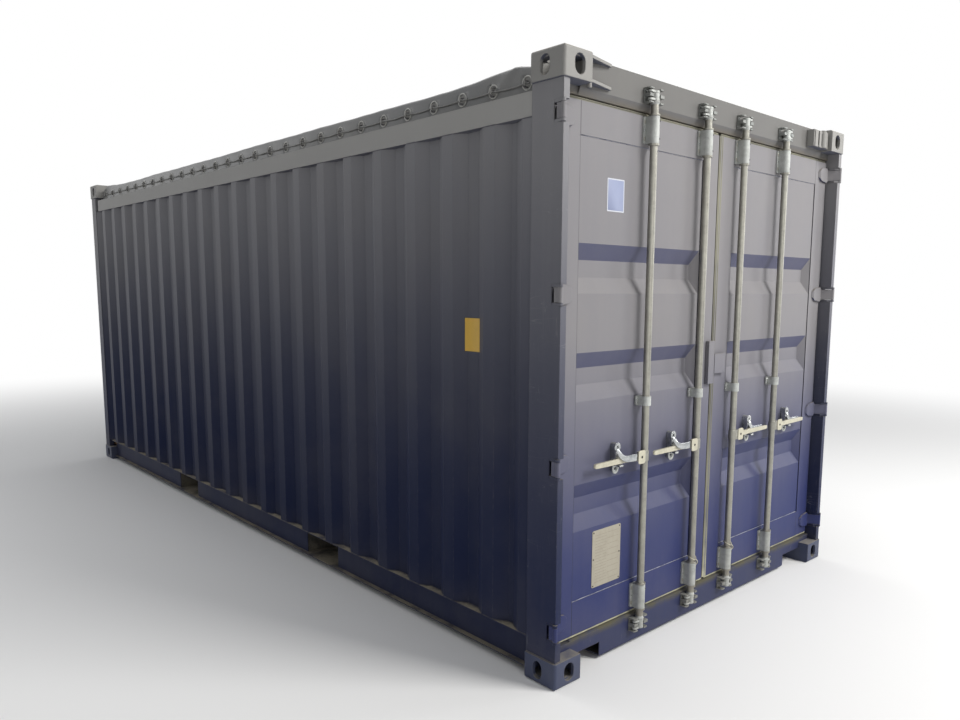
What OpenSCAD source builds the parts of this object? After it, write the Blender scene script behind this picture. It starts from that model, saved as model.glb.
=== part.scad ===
// Twenty foot open-top shipping container with end doors, lock rods and a laced tarpaulin.
// Origin: centre of the footprint at ground level. +Z is up, the doors are at -Y, lengths in millimetres.

/* [Envelope] */
// Length over the corner castings
length = 6058; // [5600:1:6400]
// Width over the corner castings
width = 2438; // [2300:1:2500]
// Height over the corner castings
height = 2591; // [2400:1:2896]

/* [Corner castings] */
// Casting size along the container
casting_l = 178; // [170:1:185]
// Casting size across the container
casting_w = 162; // [155:1:170]
// Casting height
casting_h = 118; // [112:1:124]
// Thickness of the top or bottom plate with the long aperture
casting_plate = 28; // [24:1:32]
// Thickness of the outer side and end walls
casting_wall = 16; // [12:1:20]
// Thickness of the inner walls and the far plate
casting_inner = 12; // [8:1:16]
// Radius of the three outer edges
casting_edge_r = 14; // [8:1:18]
// Distance from the end plane to the middle of the long aperture
aperture_in_y = 102.5; // [100:0.5:105]
// Distance from the side plane to the middle of the long aperture
aperture_in_x = 89.5; // [87:0.5:92]
// Length of the long aperture
aperture_l = 124.5; // [120:0.5:128]
// Width of the long aperture
aperture_w = 63.5; // [60:0.5:66]
// Height of the side and end apertures
side_aperture_h = 79; // [74:1:80]
// Width of the side aperture
side_aperture_w = 51; // [46:1:55]
// Width of the end aperture
end_aperture_w = 60; // [54:1:64]

/* [Posts] */
// Inset of the post faces from the envelope
post_inset = 8; // [6:1:10]
// Plate thickness of the pressed posts
post_t = 6; // [4:0.5:8]
// Width of the rear post's front strip, from the envelope
post_front_w = 42; // [38:1:44]
// Depth at which the door seal seat starts
seat_v = 130; // [128:1:140]
// Width of the rolled channel that forms the seat
channel_w = 113; // [100:1:120]
// Depth of that channel
channel_d = 40; // [34:1:44]
// Thickness of that channel
channel_t = 12; // [8:1:14]
// Width of the front post's side plate, from the envelope
front_post_l = 112; // [100:1:125]
// Width of the front post's end plate, from the envelope
front_post_w = 132; // [120:1:150]
// Depth of the front post's turned-in lips
front_post_lip = 34; // [25:1:45]

/* [Corrugated walls] */
// Inset of the outermost faces of the side walls from the envelope
wall_inset = 12; // [11:0.5:14]
// Sheet thickness
sheet = 2; // [1.6:0.1:4]
// Depth of the side wall corrugation
corr_d = 36; // [30:1:40]
// Pitch of the side wall corrugation
corr_pitch = 279; // [260:1:290]
// Width of one outer face
corr_face = 72; // [60:1:80]
// Run of one slope along the wall
corr_slope = 68; // [50:1:75]
// Middle of the first outer face, from the door end
corr_first = 435; // [425:1:445]
// End of the flat strip beside the rear post, from the door end
rear_strip = 235; // [220:1:245]
// Depth of the front wall corrugation
front_corr_d = 45; // [38:1:50]
// Width of one outer face of the front wall
front_corr_face = 110; // [100:1:120]
// Width of one slope of the front wall
front_corr_slope = 18; // [14:1:30]
// Pitch of the front wall corrugation
front_corr_pitch = 250; // [230:1:260]

/* [Rails] */
// Underside of the bottom side rails
bottom_rail_z0 = 28; // [22:1:34]
// Top of the bottom side rails
bottom_rail_z1 = 186; // [180:1:195]
// Depth of the bottom rail channel
bottom_rail_d = 48; // [36:1:54]
// Thickness of the bottom rail
bottom_rail_t = 4.5; // [3:0.5:6]
// Inset of the bottom flange behind the top flange
bottom_flange_inset = 18; // [6:1:22]
// Ledge of the top side rails below the casting tops
rail_drop = 143; // [138:1:150]
// Height of the top rail tube
top_rail_h = 98; // [90:1:110]
// Width of the top rail tube
top_rail_w = 60; // [50:1:80]
// Thickness of the top rail
top_rail_t = 4; // [3:0.5:5]
// Width of the upstand that carries the roof bows
upstand_w = 46; // [40:1:60]
// Height of the upstand
upstand_h = 82; // [74:1:84]
// Inset of the upstand's outer face from the envelope
upstand_inset = 66; // [62:1:72]

/* [Base] */
// Depth of the front sill
front_sill_d = 60; // [50:1:80]
// Level of the floor
floor_z = 160; // [156:1:164]
// Thickness of the floor boards
floor_t = 28; // [24:1:30]
// Number of floor boards along the container
board_rows = 5; // [3:1:8]
// Gap between floor boards, and round the rear posts
board_gap = 2; // [1:0.5:4]
// Ground clearance of the cross members
cross_z0 = 12.5; // [12:0.5:20]
// Thickness of the cross members
cross_t = 4; // [3:0.5:6]
// Flange width of the cross members
cross_flange = 45; // [35:1:60]
// Number of cross members between the sills
cross_count = 18; // [14:1:22]
// Distance between the middles of the two fork pockets
pocket_spread = 2090; // [2000:5:2100]
// Width of a fork pocket
pocket_w = 360; // [350:1:380]
// Plate thickness of the fork pockets
pocket_t = 6; // [4:1:8]

/* [Door end] */
// Inset of the sill and header faces
sill_inset = 62; // [60:1:66]
// Underside of the sill
sill_z0 = 17; // [14:1:24]
// Top of the sill in front of the doors
sill_z1 = 152; // [148:1:153]
// Back face of the sill and header
sill_back = 150; // [140:1:160]
// Plate thickness of the sill and header
sill_t = 5; // [4:0.5:8]
// Width of the cut-outs beside the castings
cutout_w = 200; // [180:1:220]
// Height of the cut-outs
cutout_h = 67; // [60:1:75]
// Width of the sloped edge on top of the sill
sill_slope = 10; // [4:1:14]
// Run of the step up to the floor at the sill's back
sill_step = 8; // [4:1:12]
// Underside of the header below the casting tops
header_low = 151; // [140:1:160]
// Top of the header below the casting tops
header_drop = 6; // [4:1:12]
// Height of the slope at the header's lower front edge
header_slope_h = 28; // [15:1:32]
// Depth of that slope
header_slope_d = 14; // [8:1:20]
// Depth of the header's hanging seal seat below the header
seat_drop = 44; // [30:1:50]
// Reach of the header's arms from the castings
header_arm_l = 177; // [150:1:190]
// How far the header's arms stand out of its face
header_arm_d = 42; // [34:1:52]
// Thickness of the header's arms
header_arm_t = 12; // [8:1:16]
// Lower arms: underside below the header's top
header_arm_drop = 103; // [90:1:110]
// Radius of the latch pin
header_pin_r = 9; // [7:0.5:11]
// How far the latch pin hangs below the lower arm
header_pin_hang = 22; // [10:1:30]
// Radius of the header's hinge pin
pivot_pin_r = 22; // [16:0.5:24]
// Distance from the casting to the header's hinge pin
pivot_pin_x = 57; // [50:1:70]
// Set-back of the hinge plates behind the knuckles' front
pivot_set_back = 4; // [2:1:8]
// Height of the hinge pin's head
pivot_head_h = 6; // [4:1:9]
// Distances of the header hinge's knuckles from the casting
knuckle_at = [185, 167, 117, 27];
// Widths of the knuckles
knuckle_w = [8, 35, 25, 15];

/* [Doors] */
// Gap between the two doors
door_gap = 24; // [22:1:28]
// Hinge side edge of a door, from the envelope
door_edge = 54; // [53:1:58]
// Gap between the doors and the sill
door_sill_gap = 11; // [8:1:14]
// Gap between the doors and the header
door_head_gap = 17; // [11:1:20]
// Front face of the door frames, from the envelope
door_v = 76; // [75:1:77]
// Thickness of the door frames
door_t = 48; // [44:1:48]
// Width of the door stiles
stile_w = 131; // [110:1:136]
// Height of the door's top rail
door_top_h = 132; // [124:1:140]
// Height of the door's bottom rail
door_bottom_h = 153; // [140:1:160]
// Plate thickness of the door frames
frame_t = 3.2; // [2.5:0.1:5]
// Set-back of the panel behind the frame's face
panel_step = 4; // [2:1:6]
// Depth of the stamped recesses
recess_d = 34; // [28:1:36]
// Height of one recess over its slopes
recess_h = 208; // [190:1:214]
// Height of one slope
recess_slope = 68; // [50:1:70]
// Run of the slopes at the ends of a recess
recess_end = 36; // [20:1:60]
// Flat margin beside the recesses
recess_margin = 2; // [1:1:12]
// Middles of the three recesses over the door's lower edge
recess_up = [569, 1138, 1594];
// Width of the rubber seal outside the door's edge
seal_w = 6; // [4:0.5:6]
// Depth of the rubber seal
seal_d = 34; // [28:1:38]

/* [Hinges] */
// Hinge pin position behind both envelope planes
hinge_in = 11; // [11:0.5:12]
// Middle of the lowest hinge over the door's lower edge
hinge_low = 82; // [60:1:120]
// Middle of the highest hinge below the door's upper edge
hinge_high = 73; // [60:1:120]
// Number of hinges on each door
hinge_count = 4; // [3:1:5]
// Radius of the hinge pins
pin_r = 6; // [5:0.5:7]
// Radius of the hinge barrels
barrel_r = 10; // [9.5:0.5:10.5]
// Height of the hinge barrels
barrel_h = 60; // [50:1:66]
// Thickness of the hinge lugs on the posts
lug_t = 12; // [8:1:14]
// Thickness of the hinge blades
blade_t = 11; // [8:1:12]
// Height of the hinge blades on the door
blade_h = 86; // [70:1:92]
// Reach of the hinge blades over the door, from the envelope
blade_reach = 151; // [130:1:160]
// Depth of the hinge knuckles that lie flush with the post's side
knuckle_v = 44; // [30:1:48]
// Depth of the hinge pocket in the side of the post, from the envelope
side_slot_v = 58; // [56:1:62]
// Depth of the hinge pocket inside the post, from the envelope
pocket_v = 77; // [76:1:84]

/* [Lock rods] */
// Radius of the lock rods
rod_r = 17; // [15:0.5:17]
// Wall of the lock rod pipes
rod_wall = 3; // [2:0.5:5]
// Distance of the inner rods from the middle
rod_inner_x = 170; // [160:1:180]
// Distance of the outer rods from the middle
rod_outer_x = 595; // [585:1:605]
// Depth of the rod axes, from the envelope
rod_v = 38; // [38:0.5:39]
// Lower end of the rods
rod_z0 = 84; // [80:1:90]
// Upper end of the rods below the casting tops
rod_drop = 65; // [59:1:76]
// Radius of the cam sleeves
cam_r = 19; // [18:0.5:19]
// Reach of the cam claws from the rod axis
cam_reach = 46; // [40:1:55]
// Thickness of one cam claw
cam_t = 9; // [7:1:11]
// Width of the cam claws
cam_w = 24; // [20:1:26]
// Radius of the flared necks of the cams
neck_r = 21; // [19:0.5:22]
// Height of the flared necks
neck_h = 16; // [8:1:24]
// Clearance between the cams and the keepers
gear_gap = 5; // [5:0.5:6]
// Thickness of the keeper tongues
tongue_t = 14; // [10:1:16]
// Thickness of the keeper shelves
shelf_t = 6; // [5:1:8]
// Wall of the handle hubs round the rods
sleeve_wall = 4; // [3:0.5:4]
// Wall of the bracket sleeves round the rods
bracket_wall = 6; // [5:0.5:7]
// How far the collars stand out past the bracket sleeves
collar_out = 1; // [0.5:0.5:2]
// Lower brackets over the doors' lower edge
bracket_low_in = 18; // [16:1:32]
// Upper brackets below the doors' upper edge
bracket_high_in = 3; // [2:1:14]
// Height of the brackets
bracket_h = 115; // [100:1:118]
// Middle guides over the doors' lower edge
guide_up = 984; // [970:1:995]
// Height of the middle guides
guide_h = 43; // [30:1:50]
// Width of the bracket plates beside their sleeves
bracket_plate_w = 12; // [8:1:20]
// Thickness of the bracket plates
bracket_t = 8; // [6:1:10]

/* [Handles] */
// Height of the handles
handle_z = 915; // [905:1:925]
// Reach of the handles from the rod axis
handle_reach = 358; // [340:1:375]
// Height of the handle bar
handle_h = 24; // [20:1:28]
// Thickness of the handle bar
handle_t = 12; // [8:1:13]
// Distance from the rod axis to the handle's pivot
pivot_x = 38; // [38:1:44]
// Radius of the handle's round root
root_r = 12; // [10:0.5:12]
// Height of the handle hubs
hub_h = 48; // [40:1:56]
// How far the handle bar cranks back towards the door
crank = 6; // [3:1:7]
// Thickness of the hub cheeks
hub_t = 6; // [5:0.5:7]
// How far the hub cheeks reach past the pivot
hub_over = 14; // [12:1:18]
// Height of the collars on the rods
collar_h = 8; // [5:1:10]
// Distance from the rod axis to the handle retainers
retainer_x = 183; // [170:1:200]
// Height of the retainer's top lobe over the handle
retainer_up = 66; // [60:1:76]
// Depth of the retainer's eye under the handle
retainer_down = 38; // [34:1:42]
// Radius of the retainer's lobes
lobe_r = 14; // [11:0.5:16]
// Height of the ledge under the handle
ledge_h = 8; // [6:1:10]
// How far the lower eye lies behind the retainer's face
eye_back = 14; // [8:1:18]

/* [Customs plates] */
// Middle height of the plate on the right door
customs_z = 1300; // [1290:1:1310]
// Height of that plate
customs_h = 100; // [80:1:120]
// Reach of that plate from the middle
customs_x = 100; // [80:1:110]
// Overlap of that plate over the gap, from the middle
customs_lap = 1; // [0:0.5:2]
// Middle height of the block on the left door
tab_z = 1308; // [1300:1:1316]
// Height of that block
tab_h = 216; // [190:1:230]
// Reach of that block from the middle
tab_x = 57; // [45:1:62]
// How far both stand out of the doors
customs_d = 20; // [14:1:22]
// Thickness of the customs plate
customs_t = 8; // [5:1:10]

/* [Tarpaulin] */
// Thickness of the tarpaulin as modelled
tarp_t = 3; // [2:0.5:4]
// Rise of the tarpaulin's crown over its side edges
tarp_crown = 26; // [15:1:30]
// Lower edge of the tarpaulin skirts over the rail's ledge
tarp_hem = 3; // [2:1:6]
// Gap between the tarpaulin and the corner castings
tarp_gap = 3; // [2:1:6]
// Number of roof bows
bow_count = 9; // [6:1:11]
// Radius of the roof bows
bow_r = 12; // [10:0.5:14]
// Pitch of the rope loops
loop_pitch = 205; // [180:5:220]
// First rope loop from the door end
loop_first = 261; // [230:1:280]
// Height of the rope loops over the rail's ledge
loop_up = 52; // [40:1:58]
// Outer radius of an eyelet plate
eyelet_r = 30; // [24:1:32]
// Half opening of an eyelet plate
eyelet_hole_r = 21; // [16:1:22]
// Thickness of an eyelet plate
eyelet_t = 2; // [1:0.5:3]
// How far an eyelet is longer than wide
eyelet_long = 2; // [1:1:16]
// Rope below the middle of the loops
rope_drop = 4; // [2:1:16]
// Radius of the rope
rope_r = 5; // [4:0.5:6]

/* [Hidden] */
$fn = 48;
eps = 1;
fit = 0.05;
slack = 0.5;
seated = 0.3;
NAVY = "#2b3154";
ZINC = "#a9a89c";
CREAM = "#cfc9ae";
WOOD = "#7d5f42";
RUBBER = "#2a2a28";
CLOTH = "#2d3250";
half_w = width / 2;
half_l = length / 2;
ledge_z = height - rail_drop;
top_rail_z0 = ledge_z - top_rail_h;
header_z0 = height - header_low;
header_z1 = height - header_drop;
inner_u = wall_inset + corr_d;
corr_last = length - front_post_l - 2 * corr_slope - corr_face / 2;
corr_count = floor((corr_last - corr_first) / corr_pitch) + 1;
door_z0 = sill_z1 + door_sill_gap;
door_z1 = header_z0 - door_head_gap;
leaf_x0 = door_gap / 2;
leaf_x1 = half_w - door_edge;
leaf_w = leaf_x1 - leaf_x0;
leaf_h = door_z1 - door_z0;
panel_v = door_v + panel_step;
hinge_step = (leaf_h - hinge_low - hinge_high) / (hinge_count - 1);
hinge_z = [for (k = [0 : hinge_count - 1]) door_z0 + hinge_low + k * hinge_step];
notch_h = barrel_h + 2 * (eps + lug_t);
lug_gap = 1;
sleeve_r = rod_r + sleeve_wall;
bracket_r = rod_r + bracket_wall;
rod_z1 = height - rod_drop;
bracket_low_z = door_z0 + bracket_low_in;
bracket_high_z = door_z1 - bracket_high_in - bracket_h;
guide_z = door_z0 + guide_up;

// Frames of reference: y is the depth behind the door end, or behind the front end.
module door_end() {
    translate([0, -half_l, 0]) children();
}

module front_end() {
    translate([0, half_l, 0]) mirror([0, 1, 0]) children();
}

module left() {
    mirror([1, 0, 0]) children();
}

module both_sides() {
    children();
    mirror([1, 0, 0]) children();
}

// Puts a child drawn with x as the inset from the side plane onto the right side.
module right_side() {
    translate([half_w, 0, 0]) mirror([1, 0, 0]) children();
}

// Slab between two corners.
module block(low, high) {
    translate(low) cube(high - low);
}

// Obround hole profile, long along y.
module obround(w, l) {
    square([w, l - w], center = true);
    for (s = [-1, 1]) translate([0, s * (l - w) / 2]) circle(d = w);
}

// Rounds one outer edge: the material outside a quarter circle, along z.
module edge_cutter(h) {
    translate([-eps, -eps, -eps]) linear_extrude(height = h + 2 * eps) difference() {
        square(casting_edge_r + eps);
        translate([casting_edge_r + eps, casting_edge_r + eps]) circle(r = casting_edge_r);
    }
}

// Corner fitting with its outer corner at the origin: x inwards, y inwards, z up, long aperture below.
module corner_casting() {
    inner = casting_inner;
    difference() {
        cube([casting_w, casting_l, casting_h]);
        block([casting_wall, casting_wall, casting_plate],
              [casting_w - inner, casting_l - inner, casting_h - inner]);
        translate([aperture_in_x, aperture_in_y, -eps]) linear_extrude(height = casting_plate + 2 * eps)
            obround(aperture_w, aperture_l);
        translate([-eps, aperture_in_y, casting_h / 2 + 2]) rotate([90, 0, 90])
            linear_extrude(height = casting_wall + 2 * eps) obround(side_aperture_w, side_aperture_h);
        translate([aperture_in_x, -eps, casting_h / 2 + 2]) rotate([-90, 0, 0])
            linear_extrude(height = casting_wall + 2 * eps) obround(end_aperture_w, side_aperture_h);
        edge_cutter(casting_h);
        mirror([0, 1, 0]) rotate([90, 0, 0]) edge_cutter(casting_l);
        mirror([1, 0, 0]) rotate([0, -90, 0]) edge_cutter(casting_w);
    }
}

module bottom_castings() {
    color(NAVY) both_sides() right_side() corner_casting();
}

module top_castings() {
    translate([0, 0, height]) mirror([0, 0, 1]) bottom_castings();
}

module rear_corner_castings() {
    door_end() {
        bottom_castings();
        top_castings();
    }
}

module front_bottom_castings() {
    front_end() bottom_castings();
}

module front_top_castings() {
    front_end() top_castings();
}

// Plan of one rear post: pressed outer section and the rolled channel behind the door.
module rear_post_plan() {
    o = post_inset;
    i = o + post_t;
    f = post_front_w;
    difference() {
        polygon([[o, o], [f, o], [f, seat_v], [i + channel_w, seat_v], [i + channel_w, seat_v + channel_d],
                 [i + channel_w - channel_t, seat_v + channel_d], [i + channel_w - channel_t, seat_v + channel_t],
                 [i + channel_t, seat_v + channel_t], [i + channel_t, seat_v + channel_d],
                 [i, seat_v + channel_d], [i, casting_l], [o, casting_l]]);
        translate([i, i]) square([f - post_t - i, seat_v - i]);
    }
}

// One pair of hinge lugs with the pin between them, and the plate that closes the pocket.
module hinge_lugs() {
    mid = post_inset + post_t / 2;
    far = post_front_w - post_t / 2;
    for (s = [-1, 1]) translate([0, 0, s * (barrel_h / 2 + lug_gap + lug_t / 2)])
        linear_extrude(height = lug_t, center = true) {
            translate([hinge_in, hinge_in]) circle(r = barrel_r);
            polygon([[hinge_in - 6, hinge_in + 2], [hinge_in + 2, hinge_in - 6], [far, hinge_in + 20],
                     [far, pocket_v], [mid, pocket_v]]);
        }
    translate([hinge_in, hinge_in, 0]) cylinder(r = pin_r, h = barrel_h + 2 * (lug_gap + lug_t), center = true);
    block([mid, pocket_v, -notch_h / 2], [far, pocket_v + post_t, notch_h / 2]);
}

// Cuts the hinge pocket out of the post's corner.
module hinge_notch() {
    block([-eps, -eps, -notch_h / 2], [post_front_w + eps, side_slot_v, notch_h / 2]);
    block([post_front_w - post_t - eps, 0, -notch_h / 2], [post_front_w + eps, pocket_v, notch_h / 2]);
}

module rear_post() {
    difference() {
        translate([0, 0, casting_h]) linear_extrude(height = height - 2 * casting_h) rear_post_plan();
        for (z = hinge_z) translate([0, 0, z]) hinge_notch();
    }
    for (z = hinge_z) translate([0, 0, z]) hinge_lugs();
}

module rear_corner_posts() {
    color(NAVY) door_end() both_sides() right_side() rear_post();
}

// Plan of one front post: an open pressed section.
module front_post_plan() {
    o = post_inset;
    i = o + post_t;
    lip = i + front_post_lip;
    polygon([[o, o], [front_post_w, o], [front_post_w, lip], [front_post_w - post_t, lip],
             [front_post_w - post_t, i], [i, i], [i, front_post_l - post_t], [lip, front_post_l - post_t],
             [lip, front_post_l], [o, front_post_l]]);
}

module front_corner_posts() {
    color(NAVY) front_end() both_sides() right_side()
        translate([0, 0, casting_h]) linear_extrude(height = height - 2 * casting_h) front_post_plan();
}

// Trapezoid corrugation line of the side wall: pairs of position from the door end and inset.
function side_line() = concat(
    [[casting_l, wall_inset], [rear_strip, wall_inset], [rear_strip + corr_slope, inner_u]],
    [for (k = [0 : corr_count - 1]) each [
        [corr_first + k * corr_pitch - corr_face / 2 - corr_slope, inner_u],
        [corr_first + k * corr_pitch - corr_face / 2, wall_inset],
        [corr_first + k * corr_pitch + corr_face / 2, wall_inset],
        [corr_first + k * corr_pitch + corr_face / 2 + corr_slope, inner_u]]],
    [[length - front_post_l - corr_slope, inner_u], [length - front_post_l, wall_inset]]
);

// Closes a line into a sheet of even thickness measured square to the wall.
function sheet_plan(line, t) = concat(line, [for (k = [len(line) - 1 : -1 : 0]) line[k] + [0, t]]);

module side_wall() {
    h = top_rail_z0 - bottom_rail_z1;
    translate([0, -half_l, bottom_rail_z1]) mirror([1, -1, 0]) linear_extrude(height = h)
        polygon(sheet_plan(side_line(), sheet));
}

module side_walls() {
    color(NAVY) both_sides() right_side() side_wall();
}

front_span = width - 2 * front_post_w;
front_count = floor((front_span - 2 * front_corr_face) / front_corr_pitch) + 1;
front_first = -(front_count - 1) * front_corr_pitch / 2;

// Corrugation line of the front wall: position across and inset.
function front_line() = concat(
    [[-front_span / 2, wall_inset]],
    [for (k = [0 : front_count - 1]) each [
        [front_first + k * front_corr_pitch - front_corr_face / 2 - front_corr_slope, wall_inset],
        [front_first + k * front_corr_pitch - front_corr_face / 2, wall_inset + front_corr_d],
        [front_first + k * front_corr_pitch + front_corr_face / 2, wall_inset + front_corr_d],
        [front_first + k * front_corr_pitch + front_corr_face / 2 + front_corr_slope, wall_inset]]],
    [[front_span / 2, wall_inset]]
);

module front_wall() {
    h = header_z0 - bottom_rail_z1;
    color(NAVY) front_end() translate([0, 0, bottom_rail_z1]) linear_extrude(height = h) polygon(sheet_plan(front_line(), sheet));
}

// Rectangular tube profile.
module tube_profile(w, h, t) {
    difference() {
        square([w, h]);
        translate([t, t]) square([w - 2 * t, h - 2 * t]);
    }
}

// Carries a profile drawn as inset and height along the container, up to v from both ends.
module along(v) {
    translate([0, half_l - v, 0]) rotate([90, 0, 0]) linear_extrude(height = length - 2 * v) children();
}

module top_rail() {
    t = top_rail_t;
    along(casting_l) {
        translate([wall_inset, top_rail_z0]) tube_profile(top_rail_w, top_rail_h, t);
        translate([wall_inset + top_rail_w - eps, ledge_z - t])
            square([upstand_inset + upstand_w - wall_inset - top_rail_w + eps, t]);
    }
    along(tarp_v0 + tarp_t + seated) translate([upstand_inset, ledge_z - eps])
        tube_profile(upstand_w, upstand_h + eps, t - 1);
}

module top_rails() {
    color(NAVY) both_sides() right_side() top_rail();
}

// Channel with its flanges outwards, the lower one narrower.
module bottom_rail_profile() {
    o = wall_inset;
    w = wall_inset + bottom_rail_d;
    t = bottom_rail_t;
    polygon([[o, bottom_rail_z1], [w, bottom_rail_z1], [w, bottom_rail_z0], [o + bottom_flange_inset, bottom_rail_z0],
             [o + bottom_flange_inset, bottom_rail_z0 + t], [w - t, bottom_rail_z0 + t], [w - t, bottom_rail_z1 - t],
             [o, bottom_rail_z1 - t]]);
}

pocket_z0 = bottom_rail_z0 + bottom_rail_t;
pocket_z1 = floor_z - pocket_t;

module pocket_holes() {
    for (s = [-1, 1]) translate([0, s * pocket_spread / 2, 0])
        block([0, -pocket_w / 2, pocket_z0], [wall_inset + bottom_rail_d + eps, pocket_w / 2, pocket_z1]);
}

module bottom_rails() {
    color(NAVY) both_sides() right_side() difference() {
        along(casting_l) bottom_rail_profile();
        pocket_holes();
    }
}

sill_x = half_w - casting_w;
seat_x = half_w - post_front_w;

// Carries a profile drawn as depth and height across the container.
module across(half_span) {
    translate([-half_span, 0, 0]) rotate([90, 0, 90]) linear_extrude(height = 2 * half_span) children();
}

// Hollow sill with a sloped top edge and a raised back that meets the floor.
module sill_profile() {
    b = sill_back;
    t = sill_t;
    difference() {
        polygon([[sill_inset, sill_z0], [b, sill_z0], [b, floor_z],
                 [seat_v + sill_step / 2, floor_z], [seat_v - sill_step / 2, sill_z1],
                 [sill_inset + sill_slope, sill_z1], [sill_inset, sill_z1 - sill_slope / 2]]);
        translate([sill_inset + t, sill_z0 + t]) square([b - sill_inset - 2 * t, sill_z1 - sill_z0 - 2 * t]);
    }
}

// Cuts the openings beside the castings out of a sill between two depths, and closes the sill above them.
module with_cutouts(v0, v1) {
    z = sill_z0 + cutout_h;
    difference() {
        children();
        both_sides() block([sill_x - cutout_w, v0 - eps, sill_z0 - eps], [sill_x + eps, v1 + eps, z]);
    }
    both_sides() block([sill_x - cutout_w, v0, z], [sill_x, v1, z + sill_t]);
}

module door_sill() {
    color(NAVY) door_end() {
        with_cutouts(sill_inset, sill_back) across(sill_x) sill_profile();
        both_sides() block([sill_x - eps, sill_inset, casting_h], [seat_x, seat_v, sill_z1 - sill_slope / 2]);
    }
}

module front_sill() {
    color(NAVY) front_end() with_cutouts(wall_inset, wall_inset + front_sill_d) across(sill_x)
        translate([wall_inset, sill_z0]) tube_profile(front_sill_d, bottom_rail_z1 - sill_z0, sill_t);
}

module front_header() {
    color(NAVY) front_end() across(sill_x)
        translate([wall_inset, header_z0]) tube_profile(top_rail_w, header_z1 - header_z0, top_rail_t);
}

// Swinging header: hollow box with a sloped lower front and a hanging seal seat.
module header_profile() {
    t = sill_t;
    z = header_z0 + header_slope_h;
    difference() {
        polygon([[sill_inset, z], [sill_inset + header_slope_d, header_z0], [seat_v, header_z0],
                 [seat_v, header_z0 - seat_drop], [seat_v + t, header_z0 - seat_drop], [seat_v + t, header_z0],
                 [sill_back, header_z0], [sill_back, header_z1], [sill_inset, header_z1]]);
        translate([sill_inset + t, z]) square([sill_back - sill_inset - 2 * t, header_z1 - z - t]);
    }
}

module door_header() {
    color(NAVY) door_end() {
        across(sill_x) header_profile();
        both_sides()
            block([sill_x - eps, sill_inset + header_slope_d, header_z0], [seat_x, seat_v, height - casting_h]);
    }
}

// Tapered plate that stands out of the header face beside a casting, drawn on the right side.
module header_arm(z) {
    x = sill_x - header_arm_l;
    front = sill_inset - header_arm_d;
    translate([0, 0, z]) linear_extrude(height = header_arm_t)
        polygon([[x, sill_inset], [x, sill_inset - header_arm_t], [sill_x - 3 * header_pin_r, front],
                 [sill_x, front], [sill_x, sill_inset]]);
}

arm_low = header_z1 - header_arm_drop;
arm_high = header_z1 - header_arm_t;

// Latch side: two arms, an upright plate on the casting and a long pin that drops through both arms.
module header_latch() {
    v = sill_inset - header_arm_d + header_pin_r + eps;
    for (z = [arm_low, arm_high]) header_arm(z);
    block([sill_x - header_arm_t, v, arm_low], [sill_x, sill_inset, arm_high]);
    translate([sill_x - 2 * header_pin_r, v, arm_low - header_pin_hang])
        cylinder(r = header_pin_r, h = arm_high - arm_low + header_pin_hang + header_arm_t / 2);
}

// Hinge side: two plates, four upright knuckles between them and the thick pin with its domed head.
module header_pivot() {
    front = sill_inset - header_arm_d;
    top_z = arm_high - header_arm_t;
    pin_x = sill_x - pivot_pin_x;
    pin_v = front + pivot_pin_r / 2;
    for (z = [arm_low, top_z])
        block([sill_x - header_arm_l, front + pivot_set_back, z], [sill_x, sill_inset, z + header_arm_t]);
    for (k = [0 : len(knuckle_at) - 1])
        block([sill_x - knuckle_at[k], front, arm_low],
              [sill_x - knuckle_at[k] + knuckle_w[k], sill_inset, top_z + header_arm_t]);
    translate([pin_x, pin_v, arm_low + eps]) cylinder(r = pivot_pin_r, h = top_z - arm_low + header_arm_t);
    translate([pin_x, pin_v, arm_high + eps]) cylinder(r = pivot_pin_r * 2 / 3, h = pivot_head_h);
}

module header_hinges() {
    color(NAVY) door_end() {
        left() header_latch();
        header_pivot();
    }
}

// One forging beside a rod: a back plate with a middle tongue and two outer shelves, drawn on its right.
module cam_keeper(x, z) {
    x0 = x + cam_r + gear_gap;
    x1 = x + cam_reach + gear_gap;
    v0 = rod_v - cam_w / 2;
    plate_v = sill_inset - gear_gap;
    shelf = tongue_t / 2 + cam_t + 2 * gear_gap;
    block([x0, plate_v, z - shelf - shelf_t], [x1, sill_inset, z + shelf + shelf_t]);
    block([x0, v0, z - tongue_t / 2], [x1, plate_v, z + tongue_t / 2]);
    for (s = [-1, 1]) translate([0, 0, z + s * (shelf + shelf_t / 2)])
        linear_extrude(height = shelf_t, center = true) polygon([[x0, plate_v], [x0, v0], [x1 - shelf_t, v0], [x1, v0 + shelf_t], [x1, plate_v]]);
}

cam_half = tongue_t / 2 + gear_gap + cam_t;
cam_low_z = rod_z0 + cam_half;
cam_high_z = rod_z1 - cam_half;

// Keepers on the rods' hinge sides, which hold the claws.
module cam_keepers() {
    color(ZINC) door_end() both_sides() for (x = [rod_inner_x, rod_outer_x], z = [cam_low_z, cam_high_z])
        cam_keeper(x, z);
}

// The same forging on the rods' other sides, where it only guards the cam.
module cam_guards() {
    color(ZINC) door_end() both_sides() for (x = [rod_inner_x, rod_outer_x], z = [cam_low_z, cam_high_z])
        translate([x, 0, 0]) mirror([1, 0, 0]) cam_keeper(0, z);
}

// Forked cam with a flared neck above it: two rounded claws pass over and under the keeper's tongue.
module cam() {
    claw = cam_w / 2;
    for (s = [-1, 1]) translate([0, 0, s * (tongue_t / 2 + gear_gap + cam_t / 2)])
        linear_extrude(height = cam_t, center = true) {
            circle(r = cam_r);
            translate([0, -claw]) square([cam_reach - claw, cam_w]);
            translate([cam_reach - claw, 0]) circle(r = claw);
        }
    cylinder(r = cam_r - 1, h = 2 * cam_half, center = true);
    translate([0, 0, cam_half]) cylinder(r1 = cam_r - 1, r2 = neck_r, h = neck_h / 4);
    translate([0, 0, cam_half + neck_h / 4]) cylinder(r1 = neck_r, r2 = rod_r, h = neck_h * 3 / 4);
}

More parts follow.
